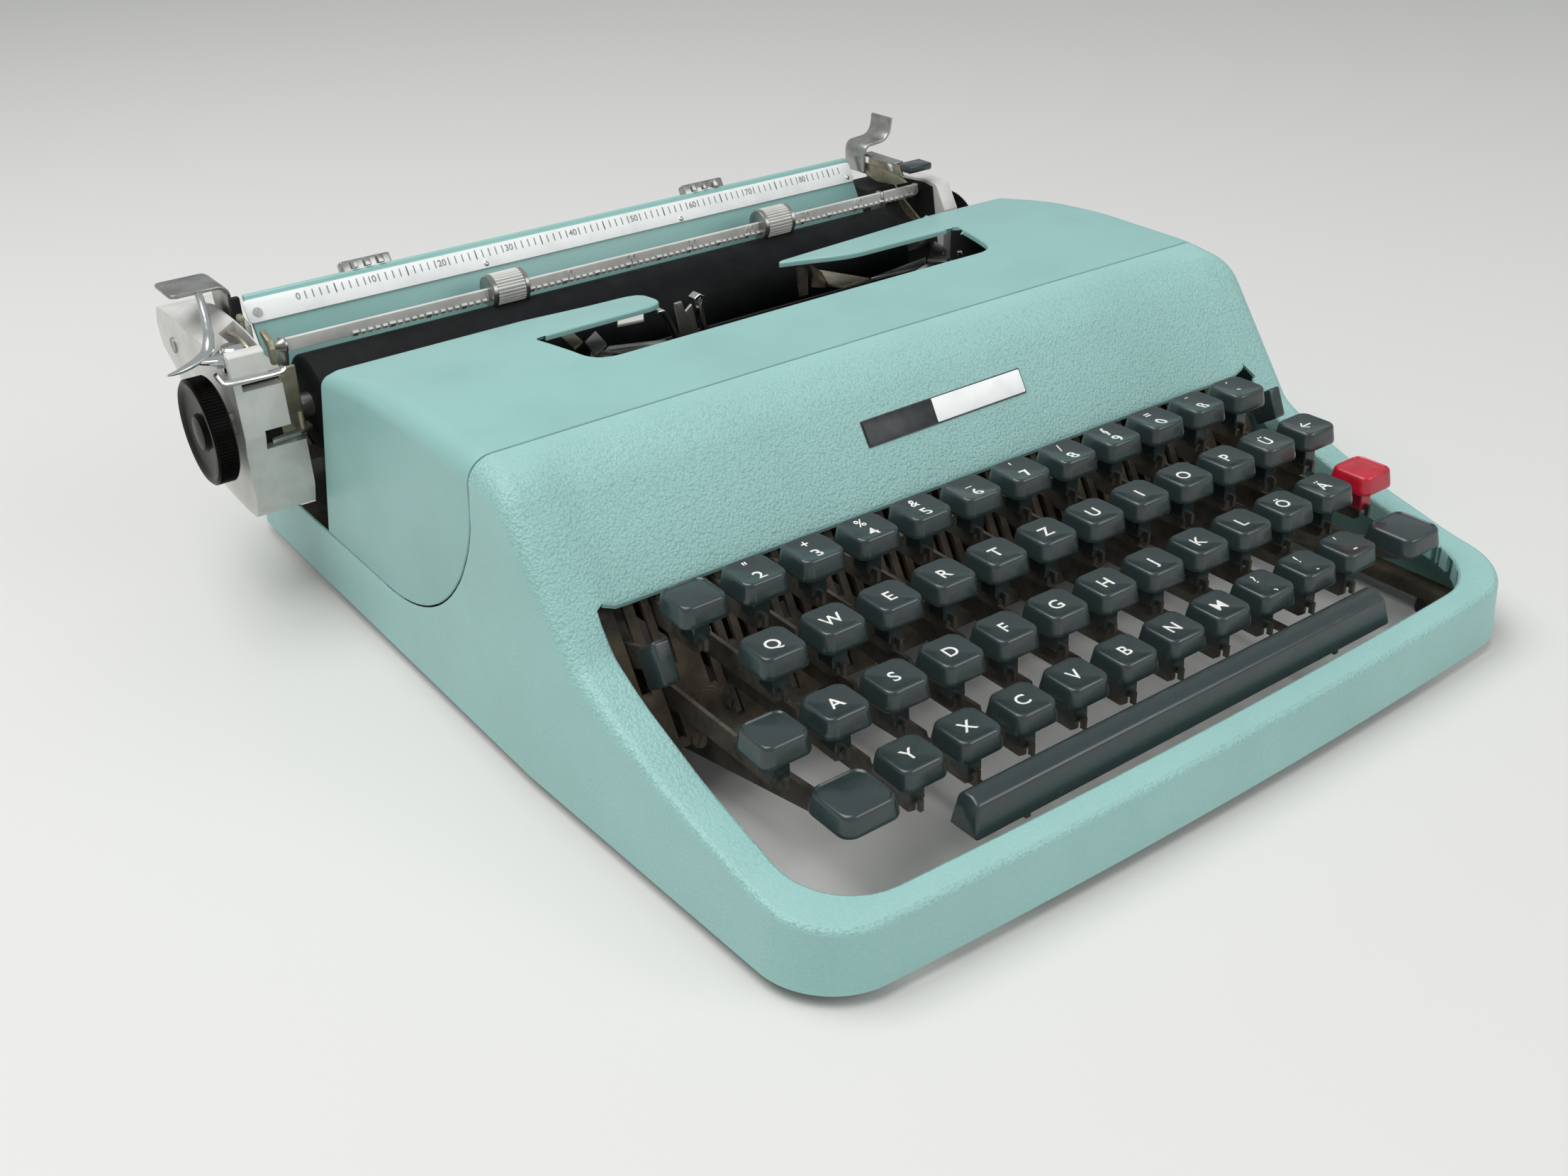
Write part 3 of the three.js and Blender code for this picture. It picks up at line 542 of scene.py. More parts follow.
def smoothstep(value, low, high):
    """Rises from 0 to 1 between two places, level at both."""
    part = min(max((value - low) / (high - low), 0), 1)
    return part * part * (3 - 2 * part)


def top_height(x, y):
    """Height of the top surface, with its slight crown and the panel set back between the arms."""
    crown = CROWN * smoothstep(y, 100, 146) * (x / 135) ** 2
    along = smoothstep(y, 94, 104) * (1 - smoothstep(y, 126, 142))
    valley = PANEL_SET_BACK * along * (1 - smoothstep(abs(x), 121.5, 127.5))
    return np.interp(y, [p.x for p in CENTRE_LINE], [p.y for p in CENTRE_LINE]) - crown - valley


def rows(low, high, step=3.6):
    """Stations along Y: every bend of the centre line and even steps between."""
    bends = sorted(p.x for p in CENTRE_LINE if low < p.x < high)
    stations = [low]
    for y in [*bends, high]:
        count = max(1, round((y - stations[-1]) / step))
        stations.extend(np.linspace(stations[-1], y, count + 1)[1:])
    return stations


def rim_stations():
    """The case's plan as points on its edge, each with the direction inwards, right half first."""
    front, rear = HALF_WIDTH - FRONT_RADIUS, HALF_WIDTH - REAR_RADIUS
    half = [((x, 0), (0, 1)) for x in np.linspace(0, front, 32)[:-1]]
    for centre, radius, start in [
        ((front, FRONT_RADIUS), FRONT_RADIUS, -90), ((rear, DEPTH - REAR_RADIUS), REAR_RADIUS, 0)]:
        for angle in np.radians(np.linspace(start, start + 90, 17)):
            inward = (-cos(angle), -sin(angle))
            half.append(((centre[0] - radius * inward[0], centre[1] - radius * inward[1]), inward))
        if start:
            sides = rows(FRONT_RADIUS, DEPTH - REAR_RADIUS)[1:-1]
            half.extend(((HALF_WIDTH, y), (-1, 0)) for y in sides)
    half.extend(((x, DEPTH), (0, -1)) for x in np.linspace(rear, 0, 26)[1:])
    left = [((-x, y), (-u, v)) for (x, y), (u, v) in half[-2:0:-1]]
    return half + left


def rim_column(place, inward):
    """Points up the leaning wall, round the shoulder and in to the flat, at one station."""
    y = place[1]
    shoulder = 1.6 + 6 * smoothstep(y, 40, 150) - 2.2 * smoothstep(y, 170, 240)
    lean = 1.4 + 0.8 * smoothstep(y, 0, 60)
    steps = [(lean * t, shoulder, 1 - t) for t in (0, 0.02, 0.2, 0.4, 0.6, 0.8)]
    steps += [(lean + shoulder * (1 - cos(a)), shoulder * (1 - sin(a)), 0)
              for a in np.linspace(0, pi / 2, 10)]
    steps += [(lean + shoulder + 0.6, 0, 0), (WALL_RING, 0, 0)]
    column = []
    for depth, drop, down in steps:
        x, y = place[0] + inward[0] * depth, place[1] + inward[1] * depth
        high = top_height(x, y) - drop
        column.append((x, y, high * (1 - down) + BASE * down))
    return column


def case_skin():
    """The whole outer surface before any opening is cut: walls in rings, the top as a fine web."""
    columns = [rim_column(*station) for station in rim_stations()]
    skin = bmesh.new()
    grid = [[skin.verts.new(p) for p in column] for column in columns]
    for first, second in zip(grid, grid[1:] + grid[:1]):
        for a, b, c, d in zip(first, second, second[1:], first[1:]):
            skin.faces.new((a, b, c, d))
    ring = [Vector(column[-1][:2]) for column in columns]
    inner = HALF_WIDTH - WALL_RING - 1.5
    grid_points = [
        Vector((x, y)) for y in rows(WALL_RING + 1.5, DEPTH - WALL_RING - 1.5)
        for x in np.linspace(-inner, inner, 68)
    ]
    corner = outline_distance(ring)
    depths = corner(np.array([(p.x, p.y, 0) for p in grid_points]))
    grid_points = [p for p, depth in zip(grid_points, depths) if depth > 1.2]
    count = len(ring)
    loop = [(i, (i + 1) % count) for i in range(count)]
    places, _, faces, _, _, _ = delaunay_2d_cdt(ring + grid_points, loop, [], 1, 1e-5)
    verts = [skin.verts.new((p.x, p.y, top_height(p.x, p.y))) for p in places]
    for face in faces:
        skin.faces.new([verts[i] for i in face])
    bmesh.ops.remove_doubles(skin, verts=skin.verts, dist=1e-3)
    bmesh.ops.recalc_face_normals(skin, faces=skin.faces)
    if sum(f.normal.z for f in skin.faces) < 0:
        bmesh.ops.reverse_faces(skin, faces=skin.faces)
    return skin


def outline_distance(outline, axes=(0, 1), outside=False):
    """Signed distance to a closed outline in two of the coordinates: positive inside, or outside."""
    ends = np.array([tuple(p)[:2] for p in outline], float)
    starts, runs = ends, np.roll(ends, -1, 0) - ends

    def distance(points):
        flat = np.asarray(points, float)[:, axes]
        best = np.full(len(flat), 1e9)
        inside = np.zeros(len(flat), bool)
        for (a, b), (u, v) in zip(starts, runs):
            offset = flat - (a, b)
            along = np.clip((offset @ (u, v)) / (u * u + v * v + 1e-12), 0, 1)
            best = np.minimum(best, np.hypot(offset[:, 0] - along * u, offset[:, 1] - along * v))
            crosses = (offset[:, 1] < 0) != (offset[:, 1] - v < 0)
            side = offset[:, 0] * v < offset[:, 1] * u if v > 0 else offset[:, 0] * v > offset[:, 1] * u
            inside ^= crosses & side
        return np.where(inside != outside, best, -best)

    return distance


def places_of(mesh):
    """Every point of a mesh as a row of an array."""
    return np.array([v.co for v in mesh.verts])


def score(mesh, distance, level):
    """Adds a line of edges wherever a distance passes a level."""
    mesh.verts.index_update()
    places = places_of(mesh)
    values = distance(places) - level
    marked = [v for v, value in zip(mesh.verts, values) if abs(value) < 1e-4]
    crossed = []
    for edge in mesh.edges:
        first, second = (values[v.index] for v in edge.verts)
        if min(abs(first), abs(second)) >= 1e-4 and first * second < 0:
            crossed.append(edge)
    ends = np.array([[v.index for v in edge.verts] for edge in crossed]).reshape(-1, 2)
    starts, runs = places[ends[:, 0]], places[ends[:, 1]] - places[ends[:, 0]]
    near, far = np.zeros(len(crossed)), np.ones(len(crossed))
    for _ in range(16):
        middle = (near + far) / 2
        passed = (distance(starts + runs * middle[:, None]) - level) * values[ends[:, 0]] < 0
        near, far = np.where(passed, near, middle), np.where(passed, middle, far)
    for edge, part in zip(crossed, (near + far) / 2):
        marked.append(bmesh.utils.edge_split(edge, edge.verts[0], part)[1])
    bmesh.ops.connect_verts(mesh, verts=marked)


def trim(mesh, distance, rounding, flange=None):
    """Cuts away where a distance is negative, rolls the new edge over and turns a flange down from it."""
    for part in (0, 0.06, 0.2, 0.42, 0.7, 1):
        score(mesh, distance, part * rounding)
    centres = np.array([f.calc_center_median() for f in mesh.faces])
    waste = [f for f, value in zip(mesh.faces, distance(centres)) if value < 0]
    bmesh.ops.delete(mesh, geom=waste, context="FACES")
    mesh.normal_update()
    values = distance(places_of(mesh))
    for vert, value in zip(mesh.verts, values):
        if value < rounding:
            reach = rounding - max(value, 0)
            vert.co -= vert.normal * (rounding - sqrt(rounding ** 2 - reach ** 2))
    if flange is None:
        return
    near = {v for v, value in zip(mesh.verts, values) if abs(value) < 0.02}
    rim = [e for e in mesh.edges if e.is_boundary and e.verts[0] in near and e.verts[1] in near]
    made = bmesh.ops.extrude_edge_only(mesh, edges=rim)
    for vert in made["geom"]:
        if isinstance(vert, bmesh.types.BMVert):
            vert.co.z -= flange(vert.co.y)


def well_outline():
    """Plan of the key well: round front corners, tight rear ones, front edge bowed like the case."""
    half, front, rear = 128.2, 9.4, 107.0
    wide, tight = 20, 1.6
    return [
        *arc(-half + wide, front + wide, wide, 180, 270, 14),
        *[(x, front) for x in np.linspace(-100, 100, 9)],
        *arc(half - wide, front + wide, wide, 270, 360, 14),
        *arc(half - tight, rear - tight, tight, 0, 90, 4),
        *arc(-half + tight, rear - tight, tight, 90, 180, 4),
    ]


def window_outline():
    """Plan of the opening over the type basket, open at the back between two tongues."""
    corners = [
        (-81, 180.4, 16), (77.5, 180.8, 14), (89.8, 213, 8), (40, 213, 14), (20.2, 227.4, 0),
        (21.6, 229.6, 0), (60, 235, 20), (101, 241.4, 0), (102, 262, 0), (-74, 262, 0),
        (-73, 241.4, 0), (-52, 237.6, 18), (-31.6, 236.4, 15), (-35.6, 214.2, 15), (-84.2, 213.8, 6),
    ]
    return rounded_line(corners, 6, closed=True)


def seam_outline():
    """Side view of what belongs to the cover: behind the upright seam and above its long curve."""
    y, bend, level, end = 145.2, 82.0, 25.8, 212.0
    curve = []
    for t in np.linspace(0, 1, 33):
        weights = ((1 - t) ** 3, 3 * t * (1 - t) ** 2, 3 * t * t * (1 - t), t ** 3)
        ys, zs = (y, y, 168, end), (bend, 62, level, level)
        curve.append((np.dot(weights, ys), np.dot(weights, zs)))
    return [(y, 150), *curve, (400, level), (400, 150)]


# Side view of what lies behind the cover's rear edge.
COVER_REAR = [
    (241, 150), (241, 88.6), (241.8, 86.6), (243.6, 85.2), (245.4, 82), (260, 22), (400, 22), (400, 150),
]


def drawn_in(points):
    """The plan coordinates after the case's sides have drawn in towards the front."""
    moved = np.array(points, float)
    moved[:, 0] *= 1 - TAPER * np.maximum(0, TAPER_REACH - moved[:, 1]) / HALF_WIDTH
    return moved


def finish_skin(mesh, name, material):
    """Bends the plan to its final outline and gives the sheet its thickness."""
    for vert, place in zip(mesh.verts, drawn_in(places_of(mesh))):
        x, y = place[0], place[1]
        bow = (BOW * (x / HALF_WIDTH) ** 2 - NOSE) * max(0, 1 - y / BOW_REACH)
        vert.co = (x, y + bow, vert.co.z)
    made = new_piece(name, [], [], material)
    mesh.to_mesh(made.data)
    mesh.free()
    wall = made.modifiers.new("wall", "SOLIDIFY")
    wall.thickness = SHEET
    wall.offset = -1
    return bake(made)


def case_and_cover():
    """The pressed case with its key well, and the lift-off cover with its window."""
    skin = case_skin()
    case, cover = skin.copy(), skin
    well = outline_distance(well_outline(), outside=True)
    before_seam = outline_distance(seam_outline(), (1, 2), outside=True)
    behind_seam = outline_distance(seam_outline(), (1, 2))
    trim(case, lambda points: before_seam(points) - SEAM_GAP / 2, 0.5)
    trim(case, lambda points: well(drawn_in(points)), 0.9,
         lambda y: 0.4 + 5.2 * (1 - smoothstep(y, 98, 106)))
    trim(cover, lambda points: behind_seam(points) - SEAM_GAP / 2, 0.5)
    trim(cover, outline_distance(COVER_REAR, (1, 2), outside=True), 0.7)
    trim(cover, outline_distance(window_outline(), outside=True), 0.7, lambda y: 1.2)
    settle(finish_skin(case, "case_pressing", ENAMEL), "case", ["body_shell"], 50)
    settle(finish_skin(cover, "cover_pressing", COVER_ENAMEL), "top_cover", ["top_cover"], 50)


case_and_cover()


# ------------------------------------------------------------------ node trees for what repeats


def new_tree(name, inputs):
    """A geometry tree with named inputs, given as (name, socket kind, value)."""
    tree = bpy.data.node_groups.new(name, "GeometryNodeTree")
    tree.interface.new_socket(name="Mesh", in_out="INPUT", socket_type="NodeSocketGeometry")
    tree.interface.new_socket(name="Mesh", in_out="OUTPUT", socket_type="NodeSocketGeometry")
    for label, kind, value in inputs:
        socket = tree.interface.new_socket(name=label, in_out="INPUT", socket_type=kind)
        if value is not None:
            socket.default_value = value
    return tree, add(tree, "NodeGroupInput").outputs


def close_tree(tree, instances, material):
    """Makes instances real, gives them the material input and hands them out."""
    real = add(tree, "GeometryNodeRealizeInstances", {0: instances}).outputs[0]
    dressed = add(tree, "GeometryNodeSetMaterial", {"Geometry": real, "Material": material}).outputs[0]
    add(tree, "NodeGroupOutput", {0: dressed})


def grown(name, tree, points=(), faces=(), **inputs):
    """Runs a tree on a mesh of points and returns the plain result; an input's name has _ for a space."""
    made = new_piece(name, points, faces, inputs["Material"])
    step = made.modifiers.new("tree", "NODES")
    step.node_group = tree
    for item in tree.interface.items_tree:
        key = item.name.replace(" ", "_")
        if item.in_out == "INPUT" and key in inputs:
            step[item.identifier] = inputs[key]
    return bake(made)


def rib_tree():
    """Half-round ribs about a line along X, as on a knurled roller or a moulded knob."""
    tree, given = new_tree("ribs_round_a_roller", [
        ("Ribs", "NodeSocketInt", 48), ("Radius", "NodeSocketFloat", 10.0),
        ("Rib Width", "NodeSocketFloat", 0.6), ("Length", "NodeSocketFloat", 8.0),
        ("Centre", "NodeSocketVector", (0, 0, 0)),
        ("Material", "NodeSocketMaterial", None)])
    circle = add(tree, "GeometryNodeMeshCircle", {"Vertices": given["Ribs"], "Radius": given["Radius"]})
    rib = add(tree, "GeometryNodeMeshCylinder", {
        "Vertices": 6, "Radius": given["Rib Width"], "Depth": given["Length"]})
    copies = add(tree, "GeometryNodeInstanceOnPoints", {
        "Points": circle.outputs[0], "Instance": rib.outputs[0]})
    turned_up = add(tree, "GeometryNodeTransform", {
        "Geometry": copies.outputs[0], "Rotation": (0, pi / 2, 0), "Translation": given["Centre"]})
    close_tree(tree, turned_up.outputs[0], given["Material"])
    return tree


def stroke_tree():
    """A row of small bars at even steps, as scale marks and rack teeth."""
    tree, given = new_tree("row_of_strokes", [
        ("Count", "NodeSocketInt", 10), ("First", "NodeSocketVector", (0, 0, 0)),
        ("Step", "NodeSocketVector", (1, 0, 0)), ("Size", "NodeSocketVector", (0.2, 0.2, 1)),
        ("Tilt", "NodeSocketVector", (0, 0, 0)), ("Material", "NodeSocketMaterial", None)])
    line = add(tree, "GeometryNodeMeshLine", {
        "Count": given["Count"], "Start Location": given["First"], "Offset": given["Step"]})
    bar = add(tree, "GeometryNodeMeshCube", {"Size": given["Size"]})
    turn = add(tree, "FunctionNodeEulerToRotation", {0: given["Tilt"]})
    copies = add(tree, "GeometryNodeInstanceOnPoints", {
        "Points": line.outputs[0], "Instance": bar.outputs[0], "Rotation": turn.outputs[0]})
    close_tree(tree, copies.outputs[0], given["Material"])
    return tree


def screw_tree():
    """A domed, slotted screw head on every point, standing along the point's direction."""
    tree, given = new_tree("slotted_screws", [
        ("Radius", "NodeSocketFloat", 2.0), ("Height", "NodeSocketFloat", 1.0),
        ("Facing", "NodeSocketVector", (0, 0, 1)), ("Slot Turn", "NodeSocketFloat", 0.4),
        ("Material", "NodeSocketMaterial", None)])
    head = add(tree, "GeometryNodeMeshCylinder", {
        "Vertices": 20, "Radius": given["Radius"], "Depth": given["Height"]})
    size = add(tree, "ShaderNodeCombineXYZ", {"X": 9.0, "Y": 0.45, "Z": 0.9})
    bar = add(tree, "GeometryNodeMeshCube", {"Size": size.outputs[0]})
    lift = add(tree, "ShaderNodeMath", {0: given["Height"], 1: 0.5}, operation="MULTIPLY")
    raised_place = add(tree, "ShaderNodeCombineXYZ", {"Z": lift.outputs[0]})
    turn = add(tree, "ShaderNodeCombineXYZ", {"Z": given["Slot Turn"]})
    slot_bar = add(tree, "GeometryNodeTransform", {
        "Geometry": bar.outputs[0], "Translation": raised_place.outputs[0], "Rotation": turn.outputs[0]})
    cut = add(tree, "GeometryNodeMeshBoolean", {"Mesh 1": head.outputs[0], "Mesh 2": slot_bar.outputs[0]})
    face = add(tree, "FunctionNodeAlignRotationToVector", {"Vector": given["Facing"]}, axis="Z")
    copies = add(tree, "GeometryNodeInstanceOnPoints", {
        "Points": given["Mesh"], "Instance": cut.outputs[0], "Rotation": face.outputs[0]})
    close_tree(tree, copies.outputs[0], given["Material"])
    return tree


def lint_tree():
    """Short curled fibres scattered over a surface."""
    tree, given = new_tree("scattered_lint", [
        ("Density", "NodeSocketFloat", 0.02), ("Length", "NodeSocketFloat", 3.0),
        ("Thickness", "NodeSocketFloat", 0.06), ("Seed", "NodeSocketInt", 3),
        ("Material", "NodeSocketMaterial", None)])
    spread = add(tree, "GeometryNodeDistributePointsOnFaces", {
        "Mesh": given["Mesh"], "Density": given["Density"], "Seed": given["Seed"]})
    bow = add(tree, "GeometryNodeCurveQuadraticBezier", {
        "Resolution": 5, "Start": (-0.5, 0, 0.1), "Middle": (0, 0.45, 0.5), "End": (0.5, 0, 0.15)})
    section = add(tree, "GeometryNodeCurvePrimitiveCircle", {"Resolution": 3, "Radius": 0.02})
    fibre = add(tree, "GeometryNodeCurveToMesh", {
        "Curve": bow.outputs[0], "Profile Curve": section.outputs[0], "Fill Caps": True})
    spin = add(tree, "FunctionNodeRandomValue", {
        "Min": (0, 0, 0), "Max": (6.28, 6.28, 6.28), "Seed": given["Seed"]}, data_type="FLOAT_VECTOR")
    grow = add(tree, "FunctionNodeRandomValue", {2: 0.4, 3: 1.4, "Seed": given["Seed"]}, data_type="FLOAT")
    size = add(tree, "ShaderNodeMath", {0: grow.outputs[1], 1: given["Length"]}, operation="MULTIPLY")
    turn = add(tree, "FunctionNodeEulerToRotation", {0: spin.outputs[0]})
    copies = add(tree, "GeometryNodeInstanceOnPoints", {
        "Points": spread.outputs["Points"], "Instance": fibre.outputs[0], "Rotation": turn.outputs[0],
        "Scale": size.outputs[0]})
    close_tree(tree, copies.outputs[0], given["Material"])
    return tree


def type_bar_tree():
    """A type slug on every point, with its bar running towards the middle of the basket."""
    tree, given = new_tree("fan_of_type_bars", [
        ("Centre", "NodeSocketVector", (0, 0, 0)), ("Slug", "NodeSocketVector", (7.0, 2.2, 3.0)),
        ("Bar", "NodeSocketVector", (22.0, 1.0, 3.4)), ("Material", "NodeSocketMaterial", None)])
    slug = add(tree, "GeometryNodeMeshCube", {"Size": given["Slug"]})
    bar = add(tree, "GeometryNodeMeshCube", {"Size": given["Bar"]})
    half = add(tree, "ShaderNodeVectorMath", {0: given["Bar"], 1: (0.5, 0, -0.5)}, operation="MULTIPLY")
    laid = add(tree, "GeometryNodeTransform", {"Geometry": bar.outputs[0], "Translation": half.outputs[0]})
    whole = add(tree, "GeometryNodeJoinGeometry")
    tree.links.new(slug.outputs[0], whole.inputs[0])
    tree.links.new(laid.outputs[0], whole.inputs[0])
    place = add(tree, "GeometryNodeInputPosition").outputs[0]
    inwards = add(tree, "ShaderNodeVectorMath", {0: given["Centre"], 1: place}, operation="SUBTRACT")
    face = add(tree, "FunctionNodeAlignRotationToVector", {"Vector": inwards.outputs[0]}, axis="X")
    copies = add(tree, "GeometryNodeInstanceOnPoints", {
        "Points": given["Mesh"], "Instance": whole.outputs[0], "Rotation": face.outputs[0]})
    close_tree(tree, copies.outputs[0], given["Material"])
    return tree


RIBS, STROKES, SCREWS = rib_tree(), stroke_tree(), screw_tree()
LINT_FIELD, TYPE_BARS = lint_tree(), type_bar_tree()


# ------------------------------------------------------------------ nameplate and feet


def on_panel(x, up, out):
    """A place on the sloping panel above the keys: along X, up its slope, out from its face."""
    foot, head = (Vector((0, y, z - PANEL_SET_BACK)) for y, z in (PANEL_FOOT, PANEL_HEAD))
    run = (head - foot).normalized()
    return Vector((x, 0, 0)) + foot + run * up + Vector((0, -run.z, run.y)) * out


def panel_plate(name, corners, rounding, outs, material):
    """A flat plate with round corners that lies on the sloping panel."""
    outline = rounded_line([(x, up, rounding) for x, up in corners], 3, closed=True)
    return loft(name, [[on_panel(p[0], p[1], out) for p in outline] for out in outs], material)


def nameplate():
    """A bare two-tone plate on a dark bed: dark on the left, white on the right."""
    dark = [(-28.6, 31.5), (-2.35, 31.7), (-1.75, 39.1), (-28.3, 38.9)]
    white = [(-2.3, 31.7), (33.6, 31.9), (34.1, 39.2), (-1.7, 39.1)]
    edge = [(-29, 31.1), (34, 31.5), (34.6, 39.6), (-28.7, 39.3)]
    parts = [panel_plate("plate_bed", edge, 1, (-0.3, 0.22), PLATE_DARK)]
    for name, corners, material in (("dark_half", dark, PLATE_DARK), ("white_half", white, WHITE)):
        parts.append(soften(panel_plate(name, corners, 0.8, (-0.3, 0.5), material), 0.12, 2))
    settle(merged("nameplate", parts), "case")


def feet():
    """Four rubber feet with a rounded lower rim, round the solid ones."""
    profile = [(0, 0.05), (0, 5.55), (0.6, 5.7), (1.4, 5.7), (4.4, 5.4), (5.2, 5.2), (5.3, 0.05)]
    for name, x, y in (("front_left", -131, 26), ("front_right", 131, 26),
                       ("rear_left", -134.5, 314), ("rear_right", 134.5, 314)):
        pad = turned(name + "_foot_pad", profile, (x, y), FOOT, 40, axis="Z")
        settle(pad, "case")


def rear_pan():
    """A near-black pan that closes the case below the carriage, painting the shade of the case's unlit
    inside.
    """
    # Painted shade: the near-black plate stands for the unlit space inside the case's rear.
    pan = block("rear_pan", (-138.6, 138.6), (249, 329), (26.6, 27.8), GAP)
    settle(pan, "case")


nameplate()
feet()
rear_pan()
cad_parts["chassis"].data.materials[0] = DUSTY


# ------------------------------------------------------------------ keys and levers

CAP_HALF, CAP_CORNER, CAP_SHARE, CAP_HEIGHT = 7.6, 3.2, 0.97, 6.0
TOP_HALF, TOP_CORNER, DOME = 6.3, 2.7, 0.5
LEVER_DROP, LEVER_DEPTH, LEVER_THICK = 11.0, 7.0, 1.2
SHAFT_Y, SHAFT_Z = 190.0, 14.0
CAPITAL_SHARE, LEGEND_WEIGHT, LEGEND_RELIEF = 0.72, 0.0125, 0.06
FULCRUM_Y, FULCRUM_Z, LEVER_BEND = 205.0, 30.0, 124.0
LEGENDS = {
    "2": ("2", '"'), "3": ("3", "+"), "4": ("4", "%"), "5": ("5", "&"), "6": ("6", "_"), "7": ("7", "'"),
    "8": ("8", "/"), "9": ("9", "§"), "0": ("0", "="), "sharp_s": ("ß", "¨"),
    "accent": ("`", "´"), "comma": (",", "?"), "period": (".", "!"), "hyphen": ("-", "'"),
    "U_umlaut": ("Ü",), "O_umlaut": ("Ö",), "A_umlaut": ("Ä",),
}


def rounded_square(half, share, corner, z, per_corner=7):
    """A ring of points round a square with round corners."""
    ring = []
    for turn in range(4):
        start = radians(90 * turn)
        cx, cy = [(1, 1), (-1, 1), (-1, -1), (1, -1)][turn]
        for i in range(per_corner):
            a = start + pi / 2 * i / (per_corner - 1)
            ring.append(Vector(((cx * (half - corner) + corner * cos(a)),
                                (cy * (half - corner) + corner * sin(a)) * share, z)))
    return ring


def dish_depth(part, dish):
    """Height of the finger dish below the rim, at a share of the way from its middle to the rim."""
    return -dish * (1 - part * part)


def key_cap(name, x, y, top, size, dish, material):
    """A moulded cap: flared skirt, rolled edge and a hollowed top; without a dish it is slightly domed."""
    walls = [(6.3, 2.3, -5.2), (7.0, 3.0, -6), (7.5, 3.2, -5.9), (7.6, 3.25, -5.5), (7.5, 3.2, -4.6),
             (7.02, 3.0, -1.5), (6.9, 2.95, -0.75), (6.68, 2.85, -0.28), (6.35, 2.7, -0.04)]
    rings = [rounded_square(half * size, CAP_SHARE, corner * size, z) for half, corner, z in walls]
    for part in (0.95, 0.85, 0.7, 0.54, 0.36, 0.18, 0.02):
        height = dish_depth(part, dish) if dish else -DOME * part * part
        rings.append(rounded_square(TOP_HALF * part * size, CAP_SHARE, TOP_CORNER * part * size, height))
    return loft(name, [[p + Vector((x, y, top)) for p in ring] for ring in rings], material)


def legend(name, text, x, y, height, surface, material=LEGEND):
    """A thin raised character that follows the surface below it."""
    curve = bpy.data.curves.new(name, "FONT")
    curve.body = text
    curve.size = height / CAPITAL_SHARE
    curve.offset = LEGEND_WEIGHT * height
    curve.align_x = "CENTER"
    curve.align_y = "CENTER"
    curve.resolution_u = 4
    curve.extrude = LEGEND_RELIEF
    shape = bpy.data.objects.new(name, curve)
    bpy.context.scene.collection.objects.link(shape)
    mesh = bpy.data.meshes.new_from_object(shape.evaluated_get(bpy.context.evaluated_depsgraph_get()))
    bpy.data.objects.remove(shape)
    mesh.materials.clear()
    mesh.materials.append(material)
    for vert in mesh.vertices:
        px, py = vert.co.x + x, vert.co.y + y
        vert.co = Vector((px, py, vert.co.z + surface(px, py)))
    made = bpy.data.objects.new(name, mesh)
    bpy.context.scene.collection.objects.link(made)
    return made


def flat(px, py):
    """The surface of a level plate, for legends that are laid out before they are placed."""
    return 0.0


def dished_top(x, y, top, dish):
    """Height of a cap's hollowed top at any place."""

    def surface(px, py):
        part = min(max(abs(px - x), abs(py - y) / CAP_SHARE) / TOP_HALF, 1)
        radial = min(hypot(px - x, py - y) / 6.6, 1)
        return top + dish_depth((part + radial) / 2, dish) + 0.02

    return surface


def key_lever(name, x, y, top):
    """A punched lever: hooked nose, stepped upper edge, straight to the comb and down to its eye."""
    low = top - LEVER_DEPTH
    outline = [
        (y - 5, top - 0.8), (y - 5, top - 4.4), (y - 3.6, top - 4.4), (y - 3.6, top - 2.8),
        (y - 2, top - 2.8), (y - 2, top - 5.8), (y - 0.4, low), (LEVER_BEND, low),
        *arc(FULCRUM_Y, FULCRUM_Z, 6, -115, 90, 8), (LEVER_BEND + 4, top),
        (y + 16, top), (y + 15.4, top - 1.5), (y + 7, top - 1.5), (y + 6.2, top),
    ]
    return plate(name, outline, "X", (x - LEVER_THICK / 2, x + LEVER_THICK / 2), LEVER_METAL)


def stem(name, x, y, low, high, material):
    """The short moulded foot that grips the lever below a cap."""
    outline = [(y - 3.3, low), (y + 3.3, low), (y + 2.9, high), (y - 2.9, high)]
    grip = plate(name, outline, "X", (x - 2.6, x + 2.6), material)
    return soften(grip, 0.35, 1)


def type_key(node, body, material, text=(), dish=0.9, size=1.0):
    """One key: cap, foot, legend and lever, placed on its solid."""
    low, high = node_box(node)
    x, top = (low.x + high.x) / 2, high.z
    y = low.y + (CAP_HALF - CAP_CORNER) * 0.95 + CAP_CORNER
    lever_top = top - LEVER_DROP
    parts = [
        key_cap(node + "_cap", x, y, top, size, dish, material),
        stem(node + "_foot", x, y, lever_top - 2.4, top - CAP_HEIGHT + 0.6, material),
    ]
    surface = dished_top(x, y, top, dish)
    if len(text) == 1:
        parts.append(legend(node + "_legend", text[0], x, y, 4.3, surface))
    elif text:
        parts.append(legend(node + "_legend", text[0], x, y - 2.7, 4.4, surface))
        parts.append(legend(node + "_upper_legend", text[1], x, y + 3.1, 3.2, surface))
    settle(merged(node + "_top", parts), body, [node])
    settle(key_lever(node + "_lever", x, y, lever_top), body)


def keyboard():
    """All keys that stand on their own lever."""
    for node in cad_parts:
        if node.startswith("key_"):
            mark = node[4:]
            type_key(node, node, KEY, LEGENDS.get(mark, (mark,)))
    for node in ("shift_lock_key", "margin_release_key"):
        type_key(node, node, KEY, dish=0)
    type_key("backspace_key", "backspace_key", KEY, ("←",))
    type_key("tabulator_key", "tabulator_key", RED, dish=0)


